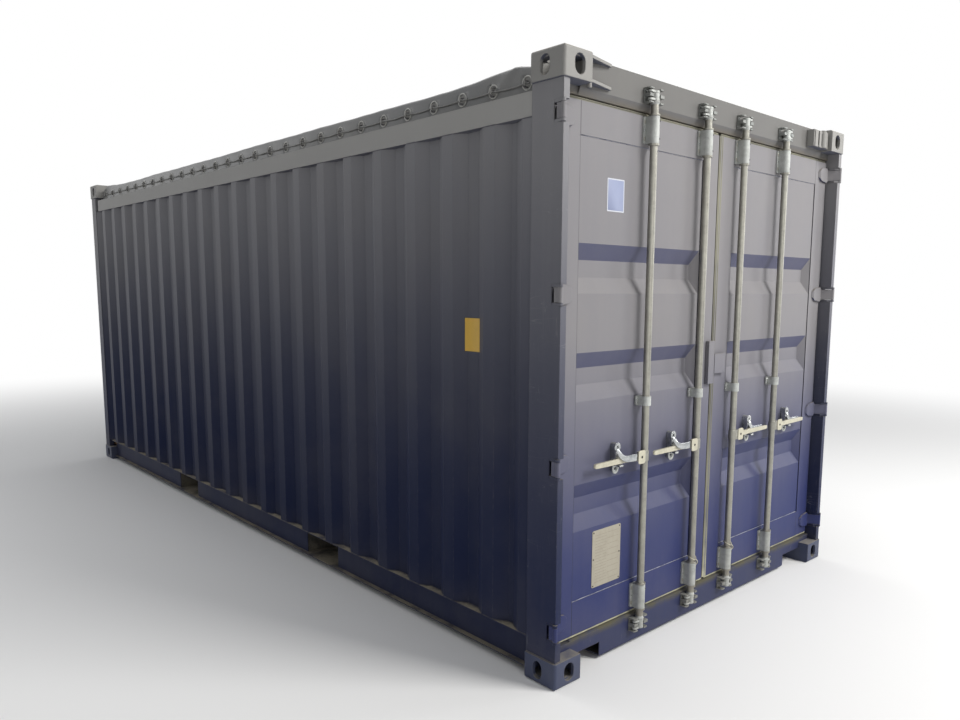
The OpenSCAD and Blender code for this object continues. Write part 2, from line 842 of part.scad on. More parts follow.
floor_v0 = sill_back;
floor_l = length - sill_back - wall_inset - front_sill_d;
floor_w = width - 2 * (wall_inset + bottom_rail_d);

module floor_boards() {
    l = (floor_l - (board_rows - 1) * board_gap) / board_rows;
    w = (floor_w - board_gap) / 2;
    post_u = post_inset + post_t + channel_w + board_gap;
    color(WOOD) difference() {
        door_end() for (k = [0 : board_rows - 1], s = [0, 1])
            translate([-floor_w / 2 + s * (w + board_gap), floor_v0 + k * (l + board_gap), floor_z - floor_t])
            cube([w, l, floor_t]);
        door_end() both_sides()
            block([half_w - post_u, 0, 0], [half_w, seat_v + channel_d + board_gap, floor_z + eps]);
        for (s = [-1, 1]) translate([0, s * pocket_spread / 2, 0])
            block([-half_w, -pocket_w / 2 - pocket_t, 0], [half_w, pocket_w / 2 + pocket_t, floor_z + eps]);
    }
}

cross_h = floor_z - floor_t - cross_z0;

// True where a cross member would run through a fork pocket.
function in_pocket(v) = abs(abs(v - half_l) - pocket_spread / 2) < pocket_w / 2 + pocket_t + cross_flange;

module cross_member(v) {
    t = cross_t;
    translate([0, v, cross_z0]) across(floor_w / 2)
        polygon([[0, 0], [cross_flange, 0], [cross_flange, t], [t, t], [t, cross_h - t], [cross_flange, cross_h - t],
                 [cross_flange, cross_h], [0, cross_h]]);
}

module cross_members() {
    step = floor_l / (cross_count + 1);
    color(NAVY) door_end() for (k = [1 : cross_count]) if (!in_pocket(floor_v0 + k * step))
        cross_member(floor_v0 + k * step);
}

// Tunnels across the base, open at both rails, with a lid flush with the floor.
module fork_pockets() {
    out = pocket_w / 2 + pocket_t;
    color(NAVY) for (s = [-1, 1]) translate([0, s * pocket_spread / 2, 0]) difference() {
        block([-floor_w / 2, -out, bottom_rail_z0], [floor_w / 2, out, floor_z]);
        block([-half_w, -pocket_w / 2, pocket_z0], [half_w, pocket_w / 2, pocket_z1]);
    }
}

bow_half = half_w - upstand_inset - upstand_w / 2;
bow_z = ledge_z + upstand_h;
bow_arc_r = (bow_half * bow_half + tarp_crown * tarp_crown) / (2 * tarp_crown);
bow_half_angle = asin(bow_half / bow_arc_r);

// Cambered tube with both ends resting on the upstands.
module roof_bow() {
    translate([0, 0, bow_z + bow_r + tarp_crown - bow_arc_r]) rotate([90, 0, 0]) rotate([0, 0, 90 - bow_half_angle])
        rotate_extrude(angle = 2 * bow_half_angle, $fn = 360) translate([bow_arc_r, 0]) circle(r = bow_r, $fn = 24);
}

module roof_bows() {
    step = (length - 2 * casting_l) / (bow_count + 1);
    color(ZINC) door_end() for (k = [1 : bow_count]) translate([0, casting_l + k * step, 0]) roof_bow();
}

tarp_edge_z = bow_z + 2 * bow_r + seated + tarp_t;
tarp_half = half_w - upstand_inset + tarp_t + seated;
tarp_v0 = casting_l + tarp_gap;
apron_half = half_w - casting_w - tarp_gap;

// Height of the tarpaulin's top over the ground, across the container.
function tarp_z(x) = tarp_edge_z + tarp_crown * (1 - pow(x / tarp_half, 2));

// Crowned outline of the tarpaulin across the container, from a lower edge up, thinner by t all round.
function tarp_outline(z0, t) = concat(
    [[t - tarp_half, z0]],
    [for (k = [-12 : 12]) [k / 12 * (tarp_half - t), tarp_z(k / 12 * tarp_half) - t]],
    [[tarp_half - t, z0]]
);

// Flap from one depth up to the tarpaulin's end, which closes the gap to the header between the castings.
module tarp_flap(v0) {
    translate([0, tarp_v0, 0]) rotate([90, 0, 0]) linear_extrude(height = tarp_v0 - v0) polygon(concat(
        [for (k = [-6 : 6]) [k / 6 * apron_half, tarp_z(k / 6 * apron_half)]],
        [for (k = [6 : -1 : -6]) [k / 6 * apron_half, tarp_z(k / 6 * apron_half) - tarp_t]]));
}

module tarpaulin() {
    z0 = ledge_z + tarp_hem;
    color(CLOTH) difference() {
        along(tarp_v0) polygon(tarp_outline(z0, 0));
        along(tarp_v0 + tarp_t) polygon(tarp_outline(z0 - eps, tarp_t));
    }
}

module tarpaulin_flaps() {
    color(CLOTH) {
        door_end() tarp_flap(sill_back + seated);
        front_end() tarp_flap(wall_inset + top_rail_w + seated);
    }
}

loop_count = floor((length - 2 * loop_first) / loop_pitch) + 1;
loop_z = ledge_z + loop_up;
loop_u = upstand_inset - tarp_t - 2 * seated;

// Eyelet plate on the tarpaulin, drawn on the right side.
module rope_loop() {
    rotate([0, 90, 0]) linear_extrude(height = eyelet_t) difference() {
        obround(eyelet_r * 2 - eyelet_long, eyelet_r * 2);
        obround(eyelet_hole_r * 2 - eyelet_long, eyelet_hole_r * 2);
    }
}

module rope_loops() {
    color(ZINC) both_sides() for (k = [0 : loop_count - 1])
        translate([half_w - loop_u, -half_l + loop_first + k * loop_pitch, loop_z]) rope_loop();
}

// Ring of points round the rope at one place along it.
function rope_ring(x, y, z) = [for (a = [0 : 45 : 315]) [x + rope_r * cos(a), y, z + rope_r * sin(a)]];

// Straight run of rope through every loop on one side.
module rope_run() {
    x = half_w - loop_u + eyelet_t + rope_r + seated;
    ys = [for (k = [0 : loop_count - 1]) -half_l + loop_first + k * loop_pitch];
    points = [for (y = ys) each rope_ring(x, y, loop_z - rope_drop)];
    last = (len(ys) - 1) * 8;
    faces = concat(
        [[for (a = [0 : 7]) a]],
        [for (k = [0 : len(ys) - 2], a = [0 : 7])
            [k * 8 + a, (k + 1) * 8 + a, (k + 1) * 8 + (a + 1) % 8, k * 8 + (a + 1) % 8]],
        [[for (a = [7 : -1 : 0]) last + a]]
    );
    polyhedron(points = points, faces = faces);
}

module tarpaulin_rope() {
    color("#c9c6bb") both_sides() rope_run();
}

// Door leaf, drawn for the right door.
module door_frame() {
    color(NAVY) door_end() {
        for (x = [leaf_x0, leaf_x1 - stile_w]) translate([x, door_v, door_z0]) linear_extrude(height = leaf_h)
            tube_profile(stile_w, door_t, frame_t);
        for (z = [[door_z0, door_z0 + door_bottom_h], [door_z1 - door_top_h, door_z1]])
            translate([leaf_x0 + stile_w, 0, 0]) difference() {
                block([0, door_v, z[0]], [leaf_w - 2 * stile_w, door_v + door_t, z[1]]);
                block([-eps, door_v + frame_t, z[0] + frame_t], [leaf_w, door_v + door_t + eps, z[1] - frame_t]);
            }
    }
}

panel_x0 = leaf_x0 + stile_w;
panel_x1 = leaf_x1 - stile_w;
panel_z0 = door_z0 + door_bottom_h;
panel_z1 = door_z1 - door_top_h;

// Tapered pan set back by d, from the panel's face to the bottom of a recess.
module pan(z, d) {
    h = recess_h / 2;
    s = recess_slope;
    x0 = panel_x0 + recess_margin;
    x1 = panel_x1 - recess_margin;
    v0 = panel_v + d;
    v1 = v0 + recess_d;
    intersection() {
        translate([0, 0, z]) across(half_w) polygon([[v0, -h], [v0, h], [v1, h - s], [v1, s - h]]);
        translate([0, 0, z - h]) linear_extrude(height = recess_h)
            polygon([[x0, v0], [x1, v0], [x1 - recess_end, v1], [x0 + recess_end, v1]]);
    }
}

module door_panel() {
    color(NAVY) door_end() difference() {
        union() {
            block([panel_x0, panel_v, panel_z0], [panel_x1, panel_v + sheet, panel_z1]);
            for (z = recess_up) pan(door_z0 + z, sheet);
        }
        for (z = recess_up) pan(door_z0 + z, 0);
    }
}

// Seal round the leaf's edge.
module door_seal() {
    w = seal_w;
    color(RUBBER) door_end() difference() {
        block([leaf_x0 - w, door_v + 8, door_z0 - w], [leaf_x1 + w - 1, door_v + 8 + seal_d, door_z1 + w]);
        block([leaf_x0, door_v, door_z0], [leaf_x1, door_v + door_t, door_z1]);
    }
}

// Blade plan: from the barrel and its knuckle, cranked onto the door's face.
module blade_plan() {
    v1 = door_v;
    v0 = door_v - blade_t;
    difference() {
        union() {
            translate([hinge_in, hinge_in]) circle(r = barrel_r);
            polygon([[hinge_in + 7, hinge_in - 7], [door_edge - 4, v0], [blade_reach - 12, v0], [blade_reach, v1],
                     [door_edge, v1], [door_edge - 10, v1 - 2], [knuckle_v - hinge_in, knuckle_v],
                     [post_inset, knuckle_v], [post_inset, hinge_in + 6]]);
        }
        translate([hinge_in, hinge_in]) circle(r = pin_r + fit);
    }
}

module door_hinge() {
    intersection() {
        translate([0, 0, -blade_h / 2]) linear_extrude(height = blade_h) blade_plan();
        union() {
            block([0, 0, -barrel_h / 2], [door_edge - 6, door_v + eps, barrel_h / 2]);
            translate([0, door_v + eps, 0]) rotate([90, 0, 0]) linear_extrude(height = door_v)
                polygon([[door_edge - 6, -barrel_h / 2], [door_edge + 6, -blade_h / 2], [blade_reach - 25, -blade_h / 2 + 8],
                         [blade_reach, -14], [blade_reach, 14], [blade_reach - 25, blade_h / 2 - 8],
                         [door_edge + 6, blade_h / 2], [door_edge - 6, barrel_h / 2]]);
        }
    }
}

module door_hinges() {
    color(NAVY) door_end() right_side() for (z = hinge_z) translate([0, 0, z]) door_hinge();
}

// Bracket that holds a lock rod: plate with rounded corners, saddle and sleeve.
module rod_bracket(x, z, h, back) {
    w = bracket_r + bracket_plate_w;
    r = min(bracket_plate_w, h) / 2;
    difference() {
        union() {
            translate([x, rod_v, z]) cylinder(r = bracket_r, h = h);
            block([x - bracket_r, rod_v, z], [x + bracket_r, back - bracket_t, z + h]);
            translate([x, back, z]) rotate([90, 0, 0]) linear_extrude(height = bracket_t) {
                translate([r - w, 0]) square([2 * (w - r), h]);
                translate([-w, r]) square([2 * w, h - 2 * r]);
                for (sx = [-1, 1], c = [r, h - r]) translate([sx * (w - r), c]) circle(r = r);
            }
        }
        translate([x, rod_v, z - eps]) cylinder(r = rod_r + fit, h = h + 2 * eps);
    }
}

module rod_brackets() {
    color(ZINC) door_end() for (x = [rod_inner_x, rod_outer_x]) {
        rod_bracket(x, bracket_low_z, bracket_h, door_v);
        rod_bracket(x, bracket_high_z, bracket_h, door_v);
        rod_bracket(x, guide_z, guide_h, door_v);
        block([x - bracket_r, door_v, guide_z], [x + bracket_r, panel_v, guide_z + guide_h]);
    }
}

handle_v0 = rod_v - sleeve_r + hub_t + slack;
retainer_v = handle_v0 + crank + handle_t + gear_gap;

// Retainer: an upright plate behind the handle with a ledge under it, a top lobe and a lower eye set back.
module handle_retainer(x) {
    low = handle_z - handle_h / 2 - gear_gap;
    top_z = handle_z + retainer_up;
    eye_z = handle_z - retainer_down;
    difference() {
        union() {
            translate([0, panel_v, 0]) rotate([90, 0, 0]) linear_extrude(height = panel_v - retainer_v) {
                translate([x - lobe_r, low - ledge_h]) square([2 * lobe_r, top_z - low + ledge_h]);
                translate([x, top_z]) circle(r = lobe_r);
            }
            translate([0, panel_v, 0]) rotate([90, 0, 0]) linear_extrude(height = panel_v - retainer_v - eye_back) {
                translate([x - lobe_r, eye_z]) square([2 * lobe_r, low - eye_z]);
                translate([x, eye_z]) circle(r = lobe_r);
            }
            block([x - lobe_r + eps, handle_v0, low - ledge_h], [x + lobe_r - eps, retainer_v + eps, low]);
        }
        for (z = [eye_z, top_z])
            translate([x, panel_v + eps, z]) rotate([90, 0, 0]) cylinder(r = lobe_r / 2, h = panel_v);
    }
}

module handle_retainers() {
    color(ZINC) door_end() for (x = [rod_inner_x, rod_outer_x]) handle_retainer(x + retainer_x);
}

// Plate on the right door that laps the gap, and the block on the left door behind it.
module customs_plate() {
    z = customs_z - customs_h / 2;
    v = door_v - customs_d;
    color(NAVY) door_end() {
        block([-customs_lap, v, z], [customs_x, v + customs_t, z + customs_h]);
        block([leaf_x0, v + customs_t, z + customs_t], [customs_x, door_v, z + customs_h - customs_t]);
    }
}

module customs_block() {
    color(NAVY) door_end()
        block([-tab_x, door_v - customs_d, tab_z - tab_h / 2], [-customs_lap - gear_gap, door_v, tab_z + tab_h / 2]);
}

// Cheek of the handle hub: a rounded pad across the rod and the handle's pivot.
module hub_cheek() {
    r = 10;
    rotate([90, 0, 0]) linear_extrude(height = hub_t, center = true) {
        translate([0, -hub_h / 2]) square([pivot_x + hub_over - r, hub_h]);
        translate([0, r - hub_h / 2]) square([pivot_x + hub_over, hub_h - 2 * r]);
        for (s = [-1, 1]) translate([pivot_x + hub_over - r, s * (hub_h / 2 - r)]) circle(r = r);
    }
}

pipe_z0 = rod_z0 + 2 * cam_half + neck_h;
pipe_z1 = rod_z1 - 2 * cam_half - neck_h;

// Lock rod with its collars and the slotted hub of the handle, drawn for the right door.
module lock_rod(x) {
    front = handle_v0 - slack - hub_t / 2;
    back = handle_v0 + handle_t + slack + hub_t / 2;
    collars = [bracket_low_z - lug_gap - collar_h, bracket_low_z + bracket_h + lug_gap,
               bracket_high_z - lug_gap - collar_h, bracket_high_z + bracket_h + lug_gap];
    color(ZINC) door_end() translate([x, 0, 0]) {
        difference() {
            union() {
                translate([0, rod_v, pipe_z0]) cylinder(r = rod_r, h = pipe_z1 - pipe_z0);
                for (z = collars) translate([0, rod_v, z]) cylinder(r = bracket_r + collar_out, h = collar_h);
                translate([0, rod_v, handle_z - hub_h / 2]) cylinder(r = sleeve_r - slack, h = hub_h);
                for (v = [front, back]) translate([0, v, handle_z]) hub_cheek();
            }
            translate([0, rod_v, pipe_z0 - eps]) cylinder(r = rod_r - rod_wall, h = pipe_z1 - pipe_z0 + 2 * eps);
            block([sleeve_r, handle_v0 - slack, handle_z - hub_h],
                  [pivot_x + 2 * hub_over, handle_v0 + handle_t + slack, handle_z + hub_h]);
        }
        translate([pivot_x, back, handle_z]) rotate([90, 0, 0]) cylinder(r = pin_r, h = back - front);
    }
}

module rod_cams(x) {
    color(ZINC) door_end() translate([x, rod_v, 0]) {
        translate([0, 0, cam_low_z]) cam();
        translate([0, 0, cam_high_z]) mirror([0, 0, 1]) cam();
    }
}

// Plan of the handle: straight from its root, cranked back, then straight to the grip.
module handle_plan() {
    a = retainer_x - 60;
    b = retainer_x - 30;
    t = handle_t;
    polygon([[pivot_x, 0], [a, 0], [b, crank], [handle_reach - 4, crank], [handle_reach, crank + 4],
             [handle_reach, crank + t - 4], [handle_reach - 4, crank + t], [b, crank + t], [a, t], [pivot_x, t]]);
}

// Handle bar with its round root, drawn for the right door.
module lock_handle(x) {
    color(CREAM) door_end() translate([x, handle_v0, handle_z]) difference() {
        union() {
            translate([pivot_x, handle_t, 0]) rotate([90, 0, 0]) cylinder(r = root_r, h = handle_t);
            intersection() {
                translate([0, 0, -handle_h / 2]) linear_extrude(height = handle_h) handle_plan();
                translate([0, handle_t + crank + eps, 0]) rotate([90, 0, 0]) linear_extrude(height = handle_t + crank + 2 * eps)
                    polygon([[pivot_x, -root_r + 1], [retainer_x, -handle_h / 2], [handle_reach - 10, -handle_h / 2 + 2],
                             [handle_reach, -handle_h / 2 + 7], [handle_reach, handle_h / 2 - 7],
                             [handle_reach - 10, handle_h / 2 - 2], [retainer_x, handle_h / 2], [pivot_x, root_r - 1]]);
            }
        }
        translate([pivot_x, handle_t + eps, 0]) rotate([90, 0, 0]) cylinder(r = pin_r + fit, h = handle_t + 2 * eps);
    }
}

rear_corner_castings();
front_bottom_castings();
front_top_castings();
rear_corner_posts();
front_corner_posts();
side_walls();
front_wall();
top_rails();
bottom_rails();
front_header();
front_sill();
door_sill();
door_header();
header_hinges();
cam_keepers();
cam_guards();
floor_boards();
cross_members();
fork_pockets();
roof_bows();
tarpaulin();
tarpaulin_flaps();
rope_loops();
tarpaulin_rope();
left() door_frame();  // left_door_frame
left() door_panel();  // left_door_panel
left() door_seal();  // left_door_seal
left() door_hinges();  // left_door_hinges
left() rod_brackets();  // left_rod_brackets
left() handle_retainers();  // left_handle_retainers
customs_block();  // left_customs_block
door_frame();  // right_door_frame
door_panel();  // right_door_panel
door_seal();  // right_door_seal
door_hinges();  // right_door_hinges
rod_brackets();  // right_rod_brackets
handle_retainers();  // right_handle_retainers
customs_plate();  // right_customs_plate
left() lock_rod(rod_outer_x);  // left_outer_rod
left() lock_rod(rod_inner_x);  // left_inner_rod
lock_rod(rod_inner_x);  // right_inner_rod
lock_rod(rod_outer_x);  // right_outer_rod
left() rod_cams(rod_outer_x);  // left_outer_cams
left() rod_cams(rod_inner_x);  // left_inner_cams
rod_cams(rod_inner_x);  // right_inner_cams
rod_cams(rod_outer_x);  // right_outer_cams
left() lock_handle(rod_outer_x);  // left_outer_handle
left() lock_handle(rod_inner_x);  // left_inner_handle
lock_handle(rod_inner_x);  // right_inner_handle
lock_handle(rod_outer_x);  // right_outer_handle
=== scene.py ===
"""Looks of a twenty foot open-top container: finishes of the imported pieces, the cloth, the rope and the small work."""
import logging
import math
from collections.abc import Callable, Sequence
from dataclasses import dataclass, field, replace
from enum import Enum

import bpy
import numpy as np
from mathutils import Matrix, Vector

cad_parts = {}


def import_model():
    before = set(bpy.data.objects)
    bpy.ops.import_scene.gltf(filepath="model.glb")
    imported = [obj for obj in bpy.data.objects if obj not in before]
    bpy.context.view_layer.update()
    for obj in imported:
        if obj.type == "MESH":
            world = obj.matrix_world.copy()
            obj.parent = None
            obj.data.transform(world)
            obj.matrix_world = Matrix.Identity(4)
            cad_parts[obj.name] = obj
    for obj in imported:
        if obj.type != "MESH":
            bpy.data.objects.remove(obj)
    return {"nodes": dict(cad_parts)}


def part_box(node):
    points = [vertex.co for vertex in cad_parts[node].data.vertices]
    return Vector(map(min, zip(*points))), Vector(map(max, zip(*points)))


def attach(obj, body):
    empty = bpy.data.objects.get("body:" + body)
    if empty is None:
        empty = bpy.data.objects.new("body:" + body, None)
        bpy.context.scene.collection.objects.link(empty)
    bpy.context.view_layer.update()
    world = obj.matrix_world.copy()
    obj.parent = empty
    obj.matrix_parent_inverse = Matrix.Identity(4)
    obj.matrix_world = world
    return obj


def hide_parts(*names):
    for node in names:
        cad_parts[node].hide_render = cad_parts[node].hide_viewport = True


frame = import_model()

LOG = logging.getLogger("container")
Colour = tuple[float, float, float]


# ---- Shapes -------------------------------------------------------------------------------------------------


class Facing(Enum):
    """Which way a flat piece looks: its own x, y and z axes in the container's frame."""

    DOOR_END = ((1, 0, 0), (0, 0, 1), (0, -1, 0))
    LEFT_SIDE = ((0, -1, 0), (0, 0, 1), (-1, 0, 0))
    RIGHT_SIDE = ((0, 1, 0), (0, 0, 1), (1, 0, 0))
    UP = ((1, 0, 0), (0, 1, 0), (0, 0, 1))

    def places(self, spots: np.ndarray) -> np.ndarray:
        """Matrices that turn a piece this way and set it at each spot.

        Args:
            spots: Points, one row each.

        Returns:
            One 4 by 4 matrix for each spot.
        """
        spots = np.atleast_2d(np.asarray(spots, float))
        made = np.tile(np.eye(4), (len(spots), 1, 1))
        made[:, :3, :3] = np.array(self.value, float).T
        made[:, :3, 3] = spots
        return made


def grid_faces(rows: int, cols: int, close_rows: bool = False, close_cols: bool = False) -> np.ndarray:
    """Quads between neighbours of a grid of points, in the order of its rows.

    Args:
        rows: Number of rows of points.
        cols: Number of points in a row.
        close_rows: Joins the last row to the first.
        close_cols: Joins each row's last point to its first.

    Returns:
        Point numbers, four for each quad.
    """
    i, j = np.meshgrid(np.arange(rows if close_rows else rows - 1),
                       np.arange(cols if close_cols else cols - 1), indexing="ij")
    up, right = (i + 1) % rows, (j + 1) % cols
    return np.stack([i * cols + j, i * cols + right, up * cols + right, up * cols + j], -1).reshape(-1, 4)


@dataclass
class Shape:
    """Points and faces worked out as whole arrays, gathered until they become one mesh."""

    points: list[np.ndarray] = field(default_factory=list)
    faces: list[np.ndarray] = field(default_factory=list)
    count: int = 0

    def add(self, points: np.ndarray, *faces: np.ndarray) -> "Shape":
        """Adds points and the faces between them.

        Args:
            points: Points in any grid layout, three numbers each.
            faces: Arrays of point numbers, counted from the first of these points.

        Returns:
            This shape.
        """
        flat = np.asarray(points, float).reshape(-1, 3)
        self.faces += [np.asarray(f, int) + self.count for f in faces]
        self.points.append(flat)
        self.count += len(flat)
        return self

    def join(self, *others: "Shape") -> "Shape":
        """Adds whole shapes to this one."""
        for other in others:
            self.add(np.concatenate(other.points), *other.faces)
        return self

    def repeat(self, places: np.ndarray) -> "Shape":
        """Copies of this shape, each moved by one matrix: point' = turn times point plus move.

        Args:
            places: Matrices, four by four each.

        Returns:
            The copies as one shape.
        """
        own = np.concatenate(self.points)
        moved = np.einsum("nij,kj->nki", places[:, :3, :3], own) + places[:, None, :3, 3]
        step = (np.arange(len(places)) * self.count)[:, None, None]
        return Shape().add(moved, *[(f[None] + step).reshape(-1, f.shape[1]) for f in self.faces])

    def at(self, facing: Facing, spots: Sequence[Sequence[float]] | np.ndarray) -> "Shape":
        """Copies of this shape that look one way, one at each spot."""
        return self.repeat(facing.places(spots))

    def build(self, name: str, finish: "Finish", body: str, slot: str = "",
              crease: float = 35.0) -> bpy.types.Object:
        """Makes the mesh, its object and its place on a body.

        Args:
            name: Name of the piece.
            finish: Finish of the whole piece.
            body: Body of the frame that it rides on.
            slot: Not used (the slot of the record that its finish stands for, or nothing).
            crease: Angle in degrees past which an edge between faces stays sharp.

        Returns:
            The object, which sits at the origin.
        """
        mesh = bpy.data.meshes.new(name)
        sizes = np.concatenate([np.full(len(f), f.shape[1]) for f in self.faces])
        loops = np.concatenate([f.ravel() for f in self.faces])
        mesh.vertices.add(self.count)
        mesh.vertices.foreach_set("co", np.concatenate(self.points).astype(np.float32).ravel())
        mesh.loops.add(len(loops))
        mesh.loops.foreach_set("vertex_index", loops.astype(np.int32))
        mesh.polygons.add(len(sizes))
        mesh.polygons.foreach_set("loop_start", np.concatenate([[0], np.cumsum(sizes)[:-1]]).astype(np.int32))
        mesh.update(calc_edges=True)
        mesh.validate()
        mesh.shade_smooth()
        mesh.set_sharp_from_angle(angle=math.radians(crease))
        mesh.materials.append(finish.material())
        piece = bpy.data.objects.new(name, mesh)
        bpy.context.scene.collection.objects.link(piece)
        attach(piece, body)
        LOG.info("piece %s: %d points on %s", name, self.count, body)
        return piece


def lofted(rings: np.ndarray, closed_path: bool = False, flip: bool = False) -> Shape:
    """Skin over a row of rings, with flat caps at the ends of an open row.

    Args:
        rings: A grid of points, one row for each ring, against the clock seen against the path.
        closed_path: Joins the last ring to the first.
        flip: Turns every face over, for rings that run with the clock.

    Returns:
        The skin.
    """
    rows, n = rings.shape[:2]
    faces = [grid_faces(rows, n, closed_path, True)]
    if not closed_path:
        faces += [np.arange(n)[::-1][None], (np.arange(n) + (rows - 1) * n)[None]]
    return Shape().add(rings, *(f[:, ::-1] if flip else f for f in faces))


def round_outline(radius: float, steps: int = 24) -> np.ndarray:
    """Circle of that radius: radius times (cos a, sin a) for even angles a."""
    a = np.arange(steps) * 2 * np.pi / steps
    return radius * np.stack([np.cos(a), np.sin(a)], 1)


def rounded_outline(width: float, height: float, radius: float, steps: int = 5) -> np.ndarray:
    """Rectangle with round corners: each quarter circle is moved out to its corner's centre.

    Args:
        width: Whole width.
        height: Whole height.
        radius: Radius of the corners.
        steps: Points on one corner.

    Returns:
        Points against the clock.
    """
    a = np.linspace(0, np.pi / 2, steps)
    turn = (np.arange(4) * np.pi / 2)[:, None] + a[None]
    centre = np.array([[1, 1], [-1, 1], [-1, -1], [1, -1]]) * np.array([width / 2 - radius, height / 2 - radius])
    return (centre[:, None] + radius * np.stack([np.cos(turn), np.sin(turn)], -1)).reshape(-1, 2)


def stacked(outline: np.ndarray, levels: Sequence[tuple[float, float]]) -> Shape:
    """Closed slab: at each level the outline is moved inwards by the inset and lifted to the height.

    Args:
        outline: Points against the clock, seen from above.
        levels: Pairs of inset and height, from the bottom up.

    Returns:
        The slab, closed by flat caps.
    """
    ahead = np.roll(outline, -1, 0) - outline
    ahead /= np.linalg.norm(ahead, axis=1, keepdims=True)
    edge_in = np.stack([-ahead[:, 1], ahead[:, 0]], 1)
    mitre = edge_in + np.roll(edge_in, 1, 0)
    mitre /= np.maximum((mitre * edge_in).sum(1, keepdims=True), 0.2)
    inset, height = np.array(levels, float).T
    flat = outline[None] + inset[:, None, None] * mitre[None]
    points = np.concatenate([flat, np.broadcast_to(height[:, None, None], flat.shape[:2] + (1,))], -1)
    return lofted(points)


def carried(profile: np.ndarray, path: np.ndarray, side: Sequence[float], scale: np.ndarray | None = None,
            closed_path: bool = False) -> Shape:
    """Profile carried along a path: point = path + a times across + b times over, both square to the path.

    Args:
        profile: Points (a, b) against the clock, seen against the path's direction.
        path: Points that the profile follows.
        side: Direction that across leans to.
        scale: Size of the profile at each point of the path, 1 where it is left out.
        closed_path: Joins the end of the path to its start.

    Returns:
        The swept shape, with flat caps where the path is open.
    """
    path = np.asarray(path, float)
    if closed_path:
        along = np.roll(path, -1, 0) - np.roll(path, 1, 0)
    else:
        along = np.gradient(path, axis=0)
    along /= np.linalg.norm(along, axis=1, keepdims=True)
    across = np.asarray(side, float)[None] - (along @ np.asarray(side, float))[:, None] * along
    across /= np.linalg.norm(across, axis=1, keepdims=True)
    over = np.cross(along, across)
    size = np.ones(len(path)) if scale is None else np.asarray(scale, float)
    points = (path[:, None] + size[:, None, None] * (profile[None, :, :1] * across[:, None]
                                                     + profile[None, :, 1:] * over[:, None]))
    return lofted(points, closed_path)


def upright_ring(bar: np.ndarray, centre: Sequence[float], radii: tuple[float, float], steps: int) -> Shape:
    """A bar bent round an upright oval that looks out of the door end: centre + (a cos t, 0, b sin t)."""
    turn = np.linspace(0, 2 * np.pi, steps, endpoint=False)
    x, y, z = centre
    path = np.stack([x + radii[0] * np.cos(turn), np.full(steps, y), z + radii[1] * np.sin(turn)], 1)
    return carried(bar, path, (0, -1, 0), closed_path=True)


def spaced_line(corners: np.ndarray, step: float) -> np.ndarray:
    """Points about a step apart along the straight runs between corners."""
    corners = np.asarray(corners, float)
    along = np.concatenate([[0], np.cumsum(np.linalg.norm(np.diff(corners, axis=0), axis=1))])
    at = np.linspace(0, along[-1], max(2, math.ceil(along[-1] / step) + 1))
    return np.stack([np.interp(at, along, corners[:, k]) for k in range(3)], 1)


def weld_bead(corners: np.ndarray, side: Sequence[float], size: float = 0.0032, step: float = 0.006) -> Shape:
    """Weld run: a round bead whose size ripples along it by two sines, a fast and a slow one.

    Args:
        corners: Corners of the seam.
        side: Direction square to the seam.
        size: Radius of the bead.
        step: Distance between its rings.

    Returns:
        The bead, half of it in the steel.
    """
    path = spaced_line(corners, step)
    ring = np.arange(len(path))
    ripple = 1 + 0.11 * np.sin(ring * 1.9) + 0.07 * np.sin(ring * 0.37 + 1.0)
    return carried(round_outline(size, 7), path, side, ripple)


# ---- Shader graphs ------------------------------------------------------------------------------------------


@dataclass(frozen=True)
class Value:
    """An output of a shader node. Sums, products and limits of it are Math nodes of its graph."""

    graph: "Graph"
    socket: bpy.types.NodeSocket

    def __add__(self, other: "Feed") -> "Value":
        """This plus the other."""
        return self.graph.math("ADD", self, other)

    def __sub__(self, other: "Feed") -> "Value":
        """This less the other."""
        return self.graph.math("SUBTRACT", self, other)

    def __rsub__(self, other: "Feed") -> "Value":
        """The other less this."""
        return self.graph.math("SUBTRACT", other, self)

    def __mul__(self, other: "Feed") -> "Value":
        """This times the other."""
        return self.graph.math("MULTIPLY", self, other)

    def __abs__(self) -> "Value":
        """This without its sign."""
        return self.graph.math("ABSOLUTE", self, 0.0)

    def most(self, other: "Feed") -> "Value":
        """The larger of this and the other."""
        return self.graph.math("MAXIMUM", self, other)

    def least(self, other: "Feed") -> "Value":
        """The smaller of this and the other."""
        return self.graph.math("MINIMUM", self, other)

    def span(self, low: "Feed", high: "Feed") -> "Value":
        """Smooth step from 0 at low to 1 at high."""
        return self.graph.add("MapRange", {0: self, 1: low, 2: high}, interpolation_type="SMOOTHSTEP")


Feed = float | Sequence[float] | Value


